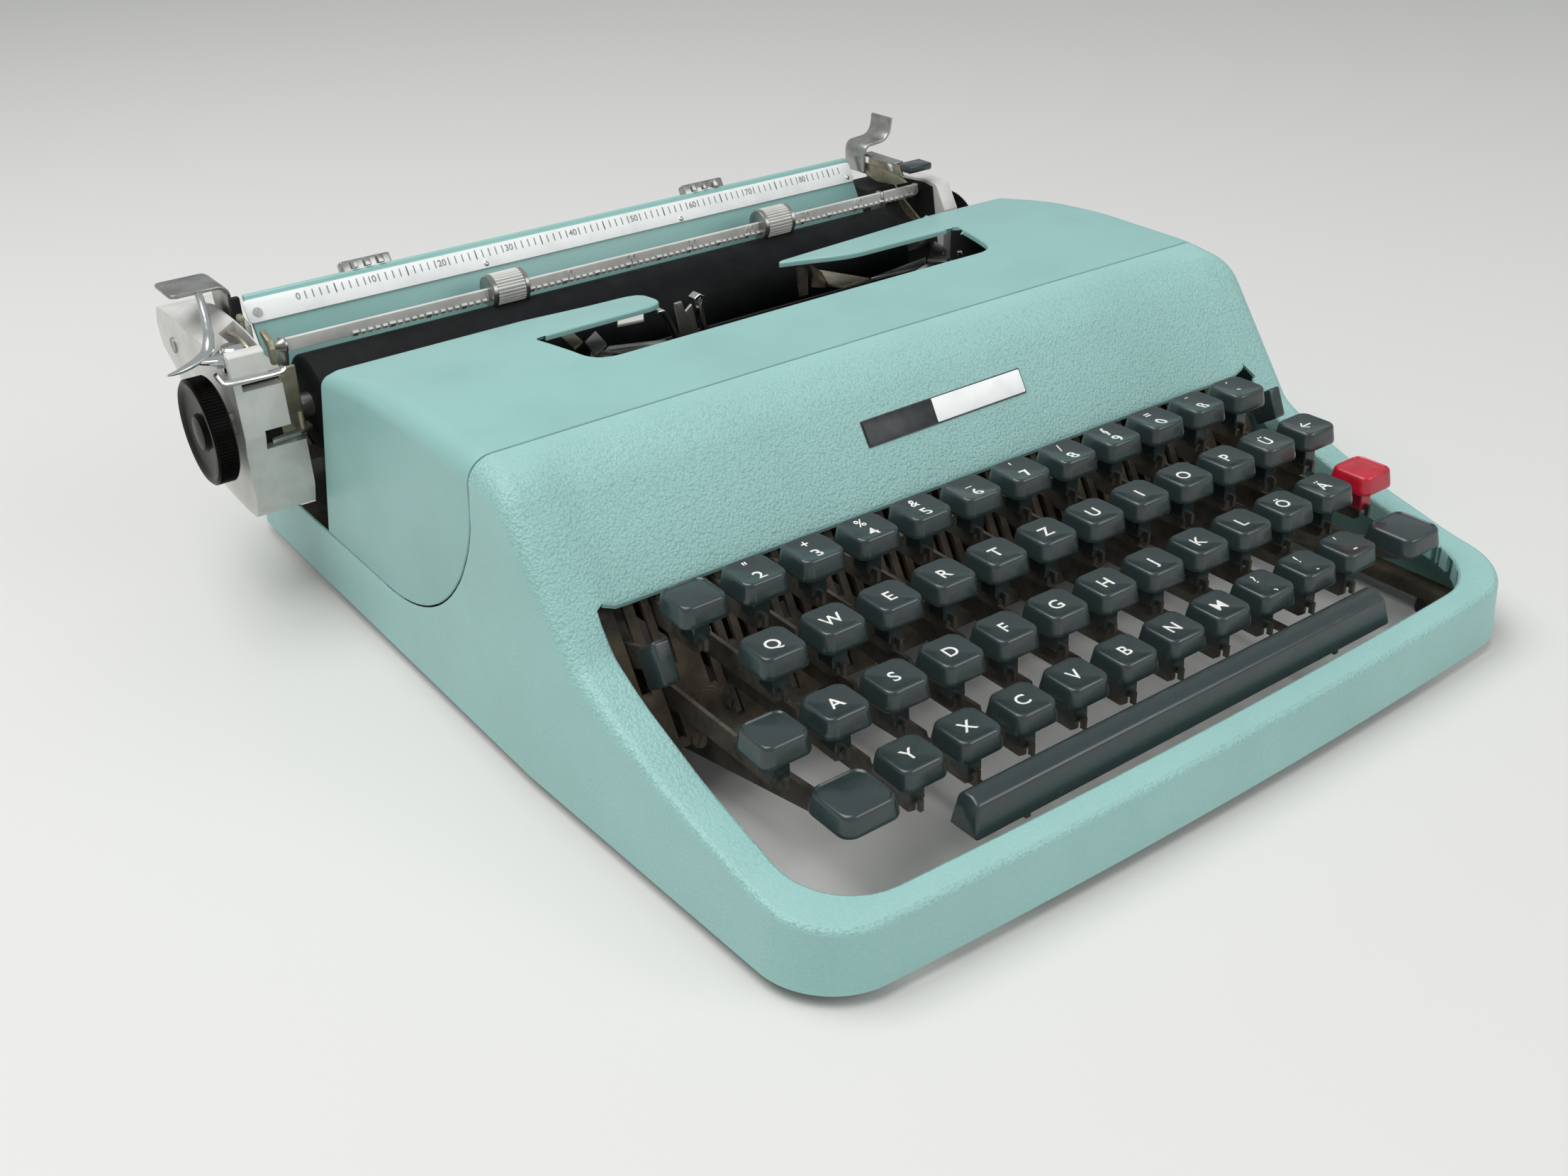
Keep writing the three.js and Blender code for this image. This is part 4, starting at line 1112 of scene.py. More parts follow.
def shift_keys():
    """Two wide caps on arms of one shaft."""
    low, high = node_box("shift_keys")
    y, top, size = low.y + 8.9, high.z, 1.2
    arm_top = top - CAP_HEIGHT - 0.3
    parts = [turned("shift_shaft", [(-122, 3), (122, 3)], (SHAFT_Y, SHAFT_Z), LEVER_METAL, 20)]
    for cap_x, arm_x in ((-105.2, -106), (111.2, 108)):
        parts.append(key_cap("shift_cap", cap_x, y, top, size, 0, KEY))
        parts.append(stem("shift_foot", cap_x, y, arm_top - 1, arm_top + 1.2, KEY))
        ends = sorted((cap_x + (3 if cap_x > arm_x else -3), arm_x))
        parts.append(block("shift_foot_plate", ends, (y - 3, y + 4), (arm_top - 3, arm_top), LEVER_METAL))
        outline = [
            (y + 30, arm_top - 3), (y - 3, arm_top), (y - 3, arm_top - 3), (y + 14, arm_top - 8), (104, 9),
            (SHAFT_Y, SHAFT_Z - 4.5), (SHAFT_Y + 5, SHAFT_Z), (SHAFT_Y, SHAFT_Z + 4.5), (112, 18),
        ]
        parts.append(plate("shift_arm", outline, "X", (arm_x - 1, arm_x + 1), LEVER_METAL))
    settle(merged("shift_keys_and_shaft", parts), "shift_keys", ["shift_keys"])


def space_bar():
    """A long moulded bar whose ends lean in, on two steel arms."""
    low, high = node_box("space_bar")
    depth, lean, arm_thick = 10, 2.2, 1.6
    front, top, half, bottom = low.y, high.z, high.x, high.z - depth
    corners = [
        (front, bottom, 0.8), (front + 10, bottom, 0.8), (front + 9.2, top - 1.6, 1.4),
        (front + 7.7, top, 1.6), (front + 4.4, top, 1.6), (front + 1.9, top - 1.4, 1.6),
    ]
    section = rounded_line(corners, 4, closed=True)
    middle = Vector((front + 5.5, bottom + 5))
    rings = []
    for share, shrink in [(-1, 0.88), (-0.997, 0.95), (-0.992, 0.99), (-0.984, 1),
                          (0.984, 1), (0.992, 0.99), (0.997, 0.95), (1, 0.88)]:
        ring = []
        for p in section:
            q = middle + (p - middle) * shrink
            ring.append((share * (half - lean * (q.y - bottom) / depth), q.x, q.y))
        rings.append(ring)
    parts = [loft("bar", rings, KEY)]
    outline = [
        (14, bottom + 1), (14, bottom - 4), (150, 8.5), (155, 13), (150, 17.5), (26, bottom - 3.2),
        (19, bottom + 1),
    ]
    for x in (-61.5, 61.5):
        parts.append(plate("bar_arm", outline, "X", (x - arm_thick / 2, x + arm_thick / 2), LEVER_METAL))
    settle(merged("space_bar_moulding", parts), "space_bar", ["space_bar"])


def finger_paddle(node, size):
    """A moulded finger pad on a thin steel arm that passes through the comb."""
    low, high = node_box(node)
    x = (low.x + high.x) / 2
    y, z = low.y + 4.4 * size, high.z - 6.8 * size
    corners = [(9.8, 0.3, 2.4), (0.6, 7.2, 2.6), (-4.3, -4.1, 2.2), (4.3, -9.8, 2.6)]
    outline = rounded_line([(y + a * size, z + b * size, r * size) for a, b, r in corners], 5, closed=True)
    pad = soften(plate(node + "_pad", outline, "X", (x - 2.5, x + 2.5), KEY), 0.7, 3)
    arm_outline = [(y + 2, z - 3), (y + 2, z + 3), (125, 41), (132, 36), (126, 31)]
    arm = plate(node + "_arm", arm_outline, "X", (x - 0.7, x + 0.7), LEVER_METAL)
    settle(merged(node + "_paddle", [pad, arm]), node, [node])


keyboard()
shift_keys()
space_bar()
finger_paddle("tab_set_lever", 1.0)
finger_paddle("ribbon_selector", 0.82)


# ------------------------------------------------------------------ carriage

PLATEN_Y, PLATEN_Z, PLATEN_RADIUS = 267.0, 67.9, 16.0
ROLLER_LEFT, ROLLER_RIGHT = -139.3, 100.5
KNOB_RADIUS, KNOB_DEPTH = 17.1, 7.2
BAIL_Y, BAIL_Z, BAIL_LEFT, BAIL_RIGHT = 272.0, 87.3, -142.6, 121.0
BAIL_ROLLERS = (-63.4, 50.0)
TABLE_FOOT, TABLE_HEAD = Vector((0, 281.9, 75)), Vector((0, 296.2, 98.3))
TABLE_RUN = (TABLE_HEAD - TABLE_FOOT).normalized()
TABLE_OUT = Vector((0, -TABLE_RUN.z, TABLE_RUN.y))
SCALE_STEP, SCALE_ZERO = 2.6, -128.2


def on_table(x, up, out=0.0):
    """A place on the front face of the paper table: along X, up its slope, out from its face."""
    return Vector((x, TABLE_FOOT.y, TABLE_FOOT.z)) + TABLE_RUN * up + TABLE_OUT * out


def table_solid(name, xs, ups, outs, material, rounding=0.25, plan_corner=0):
    """A plate that lies on the paper table's slope."""
    corners = [(xs[0], ups[0]), (xs[1], ups[0]), (xs[1], ups[1]), (xs[0], ups[1])]
    outline = rounded_line([(a, b, plan_corner) for a, b in corners], 4, closed=True)
    rings = [[on_table(p[0], p[1], out) for p in outline] for out in outs]
    made = loft(name, rings, material)
    return soften(made, rounding, 2) if rounding else made


def paper_table():
    """The enamelled back plate, its pressed trough, the riveted scale and two sliding margin stops."""
    low, high = node_box("paper_table")
    left, right = low.x, high.x
    sheet = [
        (-1.0, 0), (0, 0.6), (24.5, 0.6), (26.2, 0.9), (27.2, 0), (27.0, -1.2), (26, -1.5), (0, -1.3),
        (-1, -1),
    ]
    rings = [[on_table(x, up, out - 0.6) for up, out in sheet] for x in (left, right)]
    plate_part = soften(loft("table_sheet", rings, COVER_ENAMEL), 0.3)
    inner = arc(PLATEN_Y, PLATEN_Z, PLATEN_RADIUS + 1.7, -70, 26, 20)
    outer = arc(PLATEN_Y, PLATEN_Z, PLATEN_RADIUS + 2.9, 26, -70, 20)
    trough = plate("trough", inner + outer, "X", (left + 5.1, right - 4), NICKEL)
    settle(merged("table_and_trough", [plate_part, trough]), "carriage", ["paper_table"])
    paper_scale(left - 1.2, right + 0.2)


def scale_marks(right):
    """Nine strokes after every numeral, the fifth a little longer."""
    marks = []
    tilt = (atan2(TABLE_RUN.z, TABLE_RUN.y), 0, 0)
    for number in range(0, 100, 10):
        x = SCALE_ZERO + SCALE_STEP * number
        left_over = int((right - 6 - x) / SCALE_STEP)
        if left_over < 1:
            break
        marks.append(standing_text("scale_numeral", str(number), x, 22.2, 2.3))
        for first, count, length in ((1, min(9, left_over), 2.7), (5, 1 if left_over > 5 else 0, 3.4)):
            if count:
                place = on_table(x + SCALE_STEP * first, 22.3, 0.76)
                marks.append(grown(
                    "scale_strokes", STROKES, Count=count, First=place, Step=(SCALE_STEP, 0, 0),
                    Size=(0.4, length, 0.12), Tilt=tilt, Material=INK))
    return marks


def paper_scale(left, right):
    """A white strip with etched strokes, numerals every ten steps, three rivets and a screw."""
    strip = table_solid("scale_strip", (left, right), (17.0, 24.8), (0.05, 0.75), WHITE, 0.15, 3.0)
    settle(strip, "carriage")
    settle(merged("scale_marks", scale_marks(right)), "carriage")
    heads = [grown("scale_screw", SCREWS, [on_table(left + 3.6, 20.3, 0.9)], Radius=1.5, Height=0.8,
                   Facing=tuple(TABLE_OUT), Slot_Turn=0.9, Material=NICKEL)]
    lean = TABLE_OUT.to_track_quat("Z", "Y").to_matrix().to_4x4()
    for x, up in ((-60.5, 18.6), (21, 18.2), (right - 3, 19)):
        profile = [(-0.3, 1.0), (0.15, 0.95), (0.4, 0.7), (0.5, 0.05)]
        rivet = turned("rivet", profile, (0, 0), CHROME, 16, "Z")
        rivet.data.transform(Matrix.Translation(on_table(x, up, 0.75)) @ lean)
        heads.append(rivet)
    settle(merged("scale_rivets", heads), "carriage")
    for number, x in enumerate((-101.5, 36.0)):
        margin_stop(f"margin_stop_{number + 1}", x)


def standing_text(name, text, x, up, height):
    """A numeral that lies on the paper table's scale."""
    made = legend(name, text, 0, 0, height, flat, INK)
    for vert in made.data.vertices:
        vert.co = on_table(x + vert.co.x, up + vert.co.y, 0.78 + vert.co.z)
    return made


def margin_stop(name, x):
    """A nickelled sliding stop with three finger ridges, hooked over the table's top edge."""
    body = table_solid(name, (x - 9, x + 9), (25.4, 30.6), (-4.4, -0.4), NICKEL, 0.7, 1.6)
    parts = [body]
    for ridge in (x - 4.6, x + 0.2, x + 5.0):
        span = (ridge - 1.2, ridge + 1.2)
        parts.append(table_solid(name + "_ridge", span, (27.2, 30.2), (-0.8, 0.6), NICKEL, 0.5, 0.8))
    settle(merged(name, parts), "carriage")


def knob(name, inner, outer):
    """A moulded knob with a finely ribbed rim, a dished face and a domed hub."""
    out = 1 if outer > inner else -1
    radius = KNOB_RADIUS
    face = [
        (0.8, radius - 0.4), (0.2, radius - 0.9), (0.1, radius - 1.7), (0.9, radius - 3.2),
        (1.4, radius - 6), (1.6, 6.2), (0.4, 5.4), (0.1, 3.2), (0, 0.05),
    ]
    back = [(inner, 4), (inner, radius - 1.2), (inner + out * 0.5, radius - 0.4)]
    profile = back + [(outer - out * depth, around) for depth, around in face]
    ribs = grown(name + "_ribs", RIBS, Ribs=96, Radius=radius - 0.45, Rib_Width=0.42,
                 Length=abs(outer - inner) - 1.6, Centre=((inner + outer) / 2, PLATEN_Y, PLATEN_Z),
                 Material=RESIN)
    return [turned(name, profile, (PLATEN_Y, PLATEN_Z), RESIN, 72), ribs]


def platen():
    """The rubber roller on its shaft, with a knob at each end."""
    low, high = node_box("platen")
    left, right, edge, centre = ROLLER_LEFT, ROLLER_RIGHT, PLATEN_RADIUS, (PLATEN_Y, PLATEN_Z)
    roller = turned("platen_roller", [
        (left, 4), (left, edge - 1), (left + 0.4, edge - 0.3), (left + 1, edge), (right - 1, edge),
        (right - 0.4, edge - 0.3), (right, edge - 1), (right, 4)], centre, RUBBER, 96)
    shaft = turned("shaft", [(low.x + 1, 4), (high.x - 1, 4)], centre, NICKEL, 32)
    settle(roller, "platen", ["platen"])
    parts = knob("left_knob", low.x + KNOB_DEPTH, low.x) + knob("right_knob", high.x - KNOB_DEPTH, high.x)
    settle(merged("knobs", parts), "platen")
    settle(shaft, "platen")


def bail_bar():
    """A flat matt bar with bright beads along its lower edge and raised numerals on its face."""
    y, z = BAIL_Y, BAIL_Z
    section = rounded_line([(y - 0.9, z + 2.1, 0.7), (y - 0.9, z - 2.3, 0.4), (y + 0.5, z - 2.3, 0.4),
                            (y + 0.5, z + 2.1, 0.7)], 3, closed=True)
    parts = [soften(plate("bail_bar", section, "X", (BAIL_LEFT, BAIL_RIGHT), SILVER), 0.2, 2)]
    for count, every, size in ((92, 1, 1.5), (19, 5, 2.1)):
        parts.append(grown("bail_beads", STROKES, Count=count, First=(-119, y - 1.0, z - 1.7),
                           Step=(SCALE_STEP * every, 0, 0), Size=(size, 0.9, size), Tilt=(0.7, 0, 0),
                           Material=SILVER))
    for number in range(0, 9):
        x = -65.5 + 10 * SCALE_STEP * number
        if min(abs(x - roller) for roller in BAIL_ROLLERS) > 10 and x < BAIL_RIGHT - 3:
            parts.append(bail_numeral(str(number * 10), x, y - 0.95, z + 0.3))
    return parts


def bail_numeral(text, x, y, z):
    """A bright numeral that stands out of the bail's face."""
    mark = legend("bail_numeral", text, 0, 0, 3.2, flat, SILVER)
    for vert in mark.data.vertices:
        vert.co = Vector((x + vert.co.x, y - vert.co.z * 4, z + vert.co.y))
    return mark


def paper_bail():
    """The notched bar with its end washers and arms."""
    y, z, left, right = BAIL_Y, BAIL_Z, BAIL_LEFT, BAIL_RIGHT
    parts = bail_bar()
    washer = [(left - 3.4, 0.1), (left - 3.3, 1.0), (left - 1.2, 2.0), (left - 0.2, 2.7),
              (left + 0.4, 2.6), (left + 0.5, 0.1)]
    stop = [(right - 1.2, 1.2), (right - 1, 2.4), (right + 1.2, 2.6), (right + 1.9, 2.1), (right + 2.1, 0.1)]
    parts.append(turned("bail_washer", washer, (y - 0.2, z), NICKEL, 32))
    parts.append(turned("bail_stop", stop, (y - 0.2, z), CHROME, 24))
    outline = [(y - 1, z + 2.3), (y - 2, z - 3), (274.5, 73), (277.5, 70), (280.5, 73), (y + 4, z - 2),
               (y + 2, z + 2.3)]
    for x in (-143.6, 102.1):
        parts.append(soften(plate("bail_arm", outline, "X", (x, x + 1.5), NICKEL), 0.3))
    settle(merged("bail", parts), "paper_bail", ["paper_bail"])


def bail_rollers():
    """Two small rollers with raised rims, knurled between them."""
    half = [(7.0, 2.2), (7.0, 5.2), (6.6, 5.7), (5.4, 5.7), (5.3, 5.3)]
    centre = (BAIL_Y + 0.2, BAIL_Z + 0.8)
    parts = []
    for x in BAIL_ROLLERS:
        profile = [(x - a, r) for a, r in half] + [(x + a, r) for a, r in reversed(half)]
        parts.append(turned("bail_roller", profile, centre, NICKEL, 40))
        parts.append(grown("roller_knurl", RIBS, Ribs=30, Radius=5.3, Rib_Width=0.5, Length=10.4,
                           Centre=(x, *centre), Material=SILVER))
    settle(merged("bail_rollers", parts), "paper_bail")


def bent_strip(name, stations, thickness, material, rounding=0.25):
    """Sheet bent along X and Z; each station is (x, z, front Y, rear Y)."""
    path = [Vector((x, 0, z)) for x, z, _, _ in stations]
    rings = []
    for i, (point, (_, _, front, rear)) in enumerate(zip(path, stations)):
        along = (path[min(i + 1, len(path) - 1)] - path[max(i - 1, 0)]).normalized()
        normal = Vector((-along.z, 0, along.x)) * thickness / 2
        a, b = point + normal, point - normal
        rings.append([(a.x, front, a.z), (b.x, front, b.z), (b.x, rear, b.z), (a.x, rear, a.z)])
    return soften(loft(name, rings, material), rounding, 2)


def cast_plate(name, corners, steps, span):
    """A pressure-cast plate from a side outline whose corners carry their rounding."""
    return plate(name, rounded_line(corners, steps, closed=True), "X", span, SILVER)


def left_end_plate():
    """The folded end plate with its edge slot and the notch for the line-space lever."""
    body = cast_plate("left_end_plate", [
        (257.5, 84, 1.5), (256.6, 65.6, 1), (258.2, 60.6, 1), (257.8, 45, 3), (260.6, 37.2, 3),
        (272, 36.6, 4), (291, 37.6, 4), (305, 56, 6), (319, 71, 6), (329, 76, 4), (330.5, 84, 4),
        (327, 90.5, 4), (308, 91.5, 6), (292, 89, 4), (284, 85.6, 0)], 3, (-165, -145.5))
    notch = [
        (-158.4, 60.4), (-140, 60.4), (-140, 84.8), (-149.9, 84.8), (-149.9, 67.2), (-158.4, 67.2),
    ]
    gap = plate("gap", notch, "Y", (250, 262.5), GAP)
    top_slot = block("slot", (-162.5, -149), (250, 262), (81.0, 83.4), GAP, 0.1)
    inner_cut = block("inner_cut", (-153.3, -140), (262.3, 292), (81, 99), GAP, 0.1)
    return soften(carve(body, gap, top_slot, inner_cut), 0.4, 2, 25)


def left_upper_block():
    """The block on top of the end plate: its top slopes down to the outer side."""
    body = cast_plate("left_upper_block", [
        (258, 84, 0), (258.2, 92.2, 0.8), (260, 93, 0.8), (272, 94.8, 3), (282, 95.6, 3), (300, 95.6, 4),
        (312, 93.4, 4), (327, 89.8, 0), (326, 84, 0)], 4, (-164.8, -153.5))
    slope = plate("slope", [(-170, 87), (-152, 96.8), (-152, 110), (-170, 110)], "Y", (271, 340), GAP)
    recess = block("recess", (-159.6, -154), (261.5, 281), (88, 100), GAP, 0.1)
    pocket = block("pocket", (-170, -155.8), (261.5, 271.6), (84.9, 100), GAP, 0.1)
    return soften(carve(body, slope, recess, pocket), 0.45, 2, 25)


def line_space_strap():
    """The plated strap that crosses the end plate's front edge, widest in its outer half."""
    path = smooth_path([
        (-169.3, 257.6, 88.6), (-168.4, 257.5, 86.6), (-166.7, 257.4, 85.5), (-158, 257.3, 85.0),
        (-150, 257.4, 84.9), (-148.6, 257.6, 86.1)], 4)
    widths = np.interp(np.arange(len(path)), [0, 6, 16, 20], [2.6, 4.2, 3.6, 2.4])
    return swept("line_space_strap", path, [oval(width, 1.7, 12) for width in widths], CHROME)


def recess_lever():
    """A bent zinc rod in the recess of the upper block."""
    path = smooth_path([(-156.8, 280, 92.5), (-156.6, 272, 93.6), (-156.4, 265, 92.4),
                        (-156.2, 262.4, 90.6)], 4)
    return swept("recess_lever", path, [oval(1.6, 1.6, 8)] * len(path), ZINC)


def left_fittings():
    """Levers, pawl and strap that work in the left end plate's openings, and near-black blocks that paint
    the shade behind them.
    """
    pawl = [
        (-157.6, 253.2), (-148, 254.4), (-143, 257), (-142.8, 262), (-147, 262), (-148.6, 257.6),
        (-157, 255.6),
    ]
    return [
        line_space_strap(),
        # Painted shade: near-black blocks behind the notch and slot and on the recess floor.
        block("gap_back", (-158.2, -146), (262.1, 264), (60.6, 81.5), GAP, 0.1),
        block("slot_back", (-162, -149.4), (261.4, 263), (81.2, 83.2), GAP, 0.1),
        block("recess_floor", (-159.4, -154.2), (261.8, 280.8), (87.2, 88.4), GAP, 0.1),
        block("inner_bracket", (-151.4, -143.6), (261.6, 262.8), (60, 84), ZINC, 0.4),
        block("bracket_rib", (-149.7, -148.9), (260.6, 262), (67.4, 81), ZINC, 0.3),
        soften(plate("line_space_pawl", pawl, "Z", (63.6, 64.8), NICKEL), 0.3),
        block("pawl_pin", (-147.4, -146), (255.4, 257), (64.6, 70.6), ZINC, 0.4),
        recess_lever(),
    ]


def left_links():
    """The zinc hook, arm and black stop that stand between the end plate and the roller."""
    hook = [
        (278.6, 90), (281.4, 90), (281.6, 96.4), (280.4, 97.6), (277.4, 97.4), (277.2, 95.9), (279.2, 95.6),
    ]
    arm = [
        (266.6, 83.4), (269, 83.2), (269.8, 88), (274, 91.6), (273.4, 93.4), (268.2, 91.4), (266.9, 88.6),
    ]
    return [
        soften(plate("hook", hook, "X", (-153, -151.5), ZINC), 0.3),
        soften(plate("stop_arm", arm, "X", (-148.9, -146.9), ZINC), 0.3),
        block("black_stop", (-152.2, -148.9), (286.8, 289.2), (86, 100.5), GAP, 0.5),
        grown("side_screw", SCREWS, [(-165.2, 314.4, 80.3)], Radius=2.6, Height=1.0, Facing=(-1, 0, 0),
              Slot_Turn=0.6, Material=NICKEL),
    ]


def left_casting():
    """Everything that is fixed at the left end of the carriage."""
    return [left_end_plate(), left_upper_block(), *left_fittings(), *left_links()]


def right_casting():
    """The slimmer right end plate, a near-black block and inner face beside it that are painted shade, and
    the sprung plates between them.
    """
    outer = cast_plate("right_end_plate", [
        (255, 82, 1), (255.6, 65.5, 1), (258, 45, 3), (261, 37.4, 3), (272, 36.6, 4), (291, 37.6, 4),
        (303, 50, 4), (304, 80, 4), (300, 90, 4), (268, 92, 4), (260.6, 91.2, 1.6)], 3, (121.6, 128.4))
    inner = [
        (262, 60), (262, 40), (291, 38), (303, 50), (304, 80), (300, 87), (284, 87), (281, 80), (276, 76),
        (266, 73),
    ]
    face = [(257.4, 60), (302, 60), (302, 82), (298.6, 88.8), (268, 90.8), (262.4, 90)]
    sheet = [(264, 74), (281, 84), (290, 95.5), (300, 95.5), (303, 80), (291, 60)]
    return [
        soften(outer, 0.5, 3, 25),
        # Painted shade: the near-black block and face stand for the shaded gap inside the right casting.
        soften(plate("right_block", inner, "X", (105.5, 121.4), GAP), 0.4),
        plate("right_inner_face", face, "X", (121.2, 121.55), GAP),
        soften(plate("right_side_sheet", sheet, "X", (119.6, 120.6), ZINC), 0.3),
    ]


def release_plates():
    """Finger plates that free the carriage: a flat one on the left, a swan-necked one on the right."""
    corner = arc(-154.4, 100.6, 3.2, 90, 0, 6)
    left = [(-169.4, 103.8, 292.4, 305), (-168.8, 103.8, 290.8, 306.4), (-167.4, 103.8, 290.1, 307)]
    left += [(x, z, 290, 307) for x, z in corner] + [(-151.2, 95, 291, 306), (-151.2, 86, 294, 304)]
    neck = smooth_path([(107.8, 92.6), (107.8, 96), (107.9, 100.4), (109.2, 103), (113, 103.6),
                        (117.6, 104.2), (120.4, 107), (121.4, 112.4)], 4)
    right = [(p.x, p.y, 288, 300) for p in neck]
    return [
        bent_strip("left_release", left, 1.2, NICKEL, 0.35),
        bent_strip("right_release", right, 1.3, NICKEL, 0.35),
    ]


def carriage_frame():
    """End plates, rail beam and brackets."""
    beam = block("rail_beam", (-146.5, 106.5), (293, 303), (36.5, 53), LEVER_METAL, 0.6)
    outline = [(294, 52), (301, 52), (299, 88), (296.8, 94.6), (289.6, 84.4), (290, 70)]
    brackets = [plate("table_bracket", outline, "X", (x, x + 3), LEVER_METAL) for x in (-111, 70)]
    settle(merged("left_end", left_casting()), "carriage", ["carriage_frame"], 20)
    settle(merged("right_end", right_casting()), "carriage", (), 20)
    settle(merged("release_plates", release_plates()), "carriage")
    settle(merged("rail_and_brackets", [beam, *brackets]), "carriage")


def tapered_rod(name, path, widths, depths):
    """A plated oval bar; its width and depth are given as (share of its length, size) pairs."""
    shares = np.linspace(0, 1, len(path))
    sizes = [np.interp(shares, *zip(*steps)) for steps in (widths, depths)]
    return swept(name, path, [oval(width, depth, 16) for width, depth in zip(*sizes)], CHROME)


def return_lever():
    """A plated claw: a slim upright finger that runs forward, turns outward and ends in a point."""
    claw_path = smooth_path([
        (-160.9, 288.5, 103.6), (-161.8, 284, 101.8), (-163.8, 276, 98), (-165.9, 270, 95.3),
        (-168.4, 265.8, 93.1), (-172.9, 263, 92), (-179, 260.2, 91.4), (-183.2, 258, 91.8)], 5)
    claw = tapered_rod(
        "claw", claw_path, [(0, 2.4), (0.2, 2.5), (0.45, 3.6), (0.6, 4.0), (0.8, 2.8), (1, 0.7)],
        [(0, 1.8), (0.25, 2.2), (0.5, 2.8), (0.8, 1.9), (1, 0.6)])
    web_path = smooth_path([(-160.2, 266.4, 88.6), (-162.4, 265.6, 88.9), (-165, 264.9, 89.7),
                            (-169, 263.7, 91.1), (-172.4, 263, 91.8)], 4)
    web = tapered_rod("web", web_path, [(0, 7.6), (0.5, 6.6), (1, 2.4)], [(0, 6.4), (0.4, 4.8), (1, 1.8)])
    profile = [(84.9, 3.2), (85.4, 3.8), (92.6, 3.8), (93.2, 3.2), (93.4, 0.1)]
    hub = turned("hub", profile, (-160.5, 266.4), CHROME, 32, axis="Z")
    settle(merged("return_claw", [claw, web, hub]), "return_lever", ["return_lever"])


def paper_release():
    """A flanged zinc plate that ends in a dark finger tip."""
    side = [
        (290.5, 99.4), (290.5, 96.3), (269.2, 95.8), (264, 93.5), (270.9, 91.2), (282.4, 90.2),
        (290.9, 92.1), (292.4, 96), (291.6, 99.4),
    ]
    flange = [(271, 98.9), (291, 99), (291, 100), (271, 99.9)]
    neck = [(266, 95), (272, 95.4), (273, 99.4), (269, 99.4)]
    parts = [
        soften(plate("release_side", side, "X", (109, 110.2), ZINC), 0.3),
        soften(plate("release_flange", flange, "X", (108.9, 113.5), NICKEL), 0.3),
        soften(plate("release_neck", neck, "X", (109, 110.2), ZINC), 0.3),
        block("release_tip", (109.6, 121.2), (262.6, 270.6), (96.9, 99.8), KEY, 0.8),
    ]
    settle(merged("release_lever", parts), "paper_release_lever", ["paper_release_lever"])


# ------------------------------------------------------------------ inside the cover


def type_basket():
    """Near-black floor and walls that paint the shade inside the basket, with the resting type bars round
    its rim.
    """
    # Painted shade: near-black sheets stand for the unlit inside of the basket.
    walls = [
        block("basket_floor", (-117, 117), (192, 246), (50, 51.2), GAP),
        block("basket_back", (-117, 117), (245, 246.2), (51, 66), GAP),
        block("basket_left", (-118, -116.8), (192, 246), (51, 80), GAP),
        block("basket_right", (116.8, 118), (192, 246), (51, 80), GAP),
    ]
    centre, across, deep, rise = Vector((12, 223, 80.5)), 72, 66, 12
    points = [centre + Vector((across * cos(turn), deep * sin(turn), rise * sin(turn)))
              for turn in np.radians(np.linspace(186, 354, 44))]
    bars = grown("type_bars", TYPE_BARS, points, Centre=(12, 226, 54), Slug=(7.0, 2.4, 3.2),
                 Bar=(22.0, 1.0, 3.2), Material=NICKEL)
    settle(merged("type_basket", [*walls, bars]), "case")


def flat_part(name, outline, top, material):
    """A thin plate that lies level."""
    return soften(plate(name, outline, "Z", (top - 1.1, top), material), 0.25, 2)


def upright_part(name, outline, front, material):
    """A thin plate that stands across the machine."""
    return soften(plate(name, outline, "Y", (front, front + 1.1), material), 0.25, 2)


def printing_point():
    """The type guide, the card fingers and the ribbon's lifting fork round the printing point."""
    left_hook = [
        (-36.4, 86.6), (-35.6, 87.4), (-33.7, 87.3), (-31.9, 85), (-30.8, 82.6), (-29.4, 78.8),
        (-27.9, 75.6),
    ]
    right_hook = [
        (-21.3, 88.4), (-19.4, 89.6), (-17.6, 88.6), (-18.6, 86.4), (-18.5, 83.9), (-18.2, 81),
        (-16.6, 75.4),
    ]
    guide = [(-28.2, 88.2), (-25.3, 88.4), (-24.2, 84.6), (-21.5, 86.6), (-18.9, 75), (-26.3, 75)]
    fork = [(28.5, 85.6), (31.1, 86.2), (33.2, 84.2), (33.2, 75), (29.6, 75)]
    strip = [(33.6, 86.6), (35.7, 81.8), (35.2, 77.2), (41.3, 75.7), (42, 77.7), (39.5, 82)]
    holder = [(-36.3, 244.5), (-39.2, 239.8), (-29.4, 238.6), (-26.5, 243.4)]
    return [
        bent_strip("left_card_finger", [(x, z, 218, 222) for x, z in left_hook], 1.2, CHROME),
        bent_strip("right_card_finger", [(x, z, 218, 222) for x, z in right_hook], 1.2, CHROME),
        upright_part("type_guide", guide, 220, NICKEL),
        upright_part("ribbon_fork", fork, 228, LEVER_METAL),
        upright_part("ribbon_fork_strip", strip, 228, ZINC),
        flat_part("card_holder", holder, 78, SILVER),
        flat_part("fork_link", [(47.6, 240.7), (40.6, 226.1), (42.9, 220.1), (55.8, 221.1)], 78, ZINC),
    ]


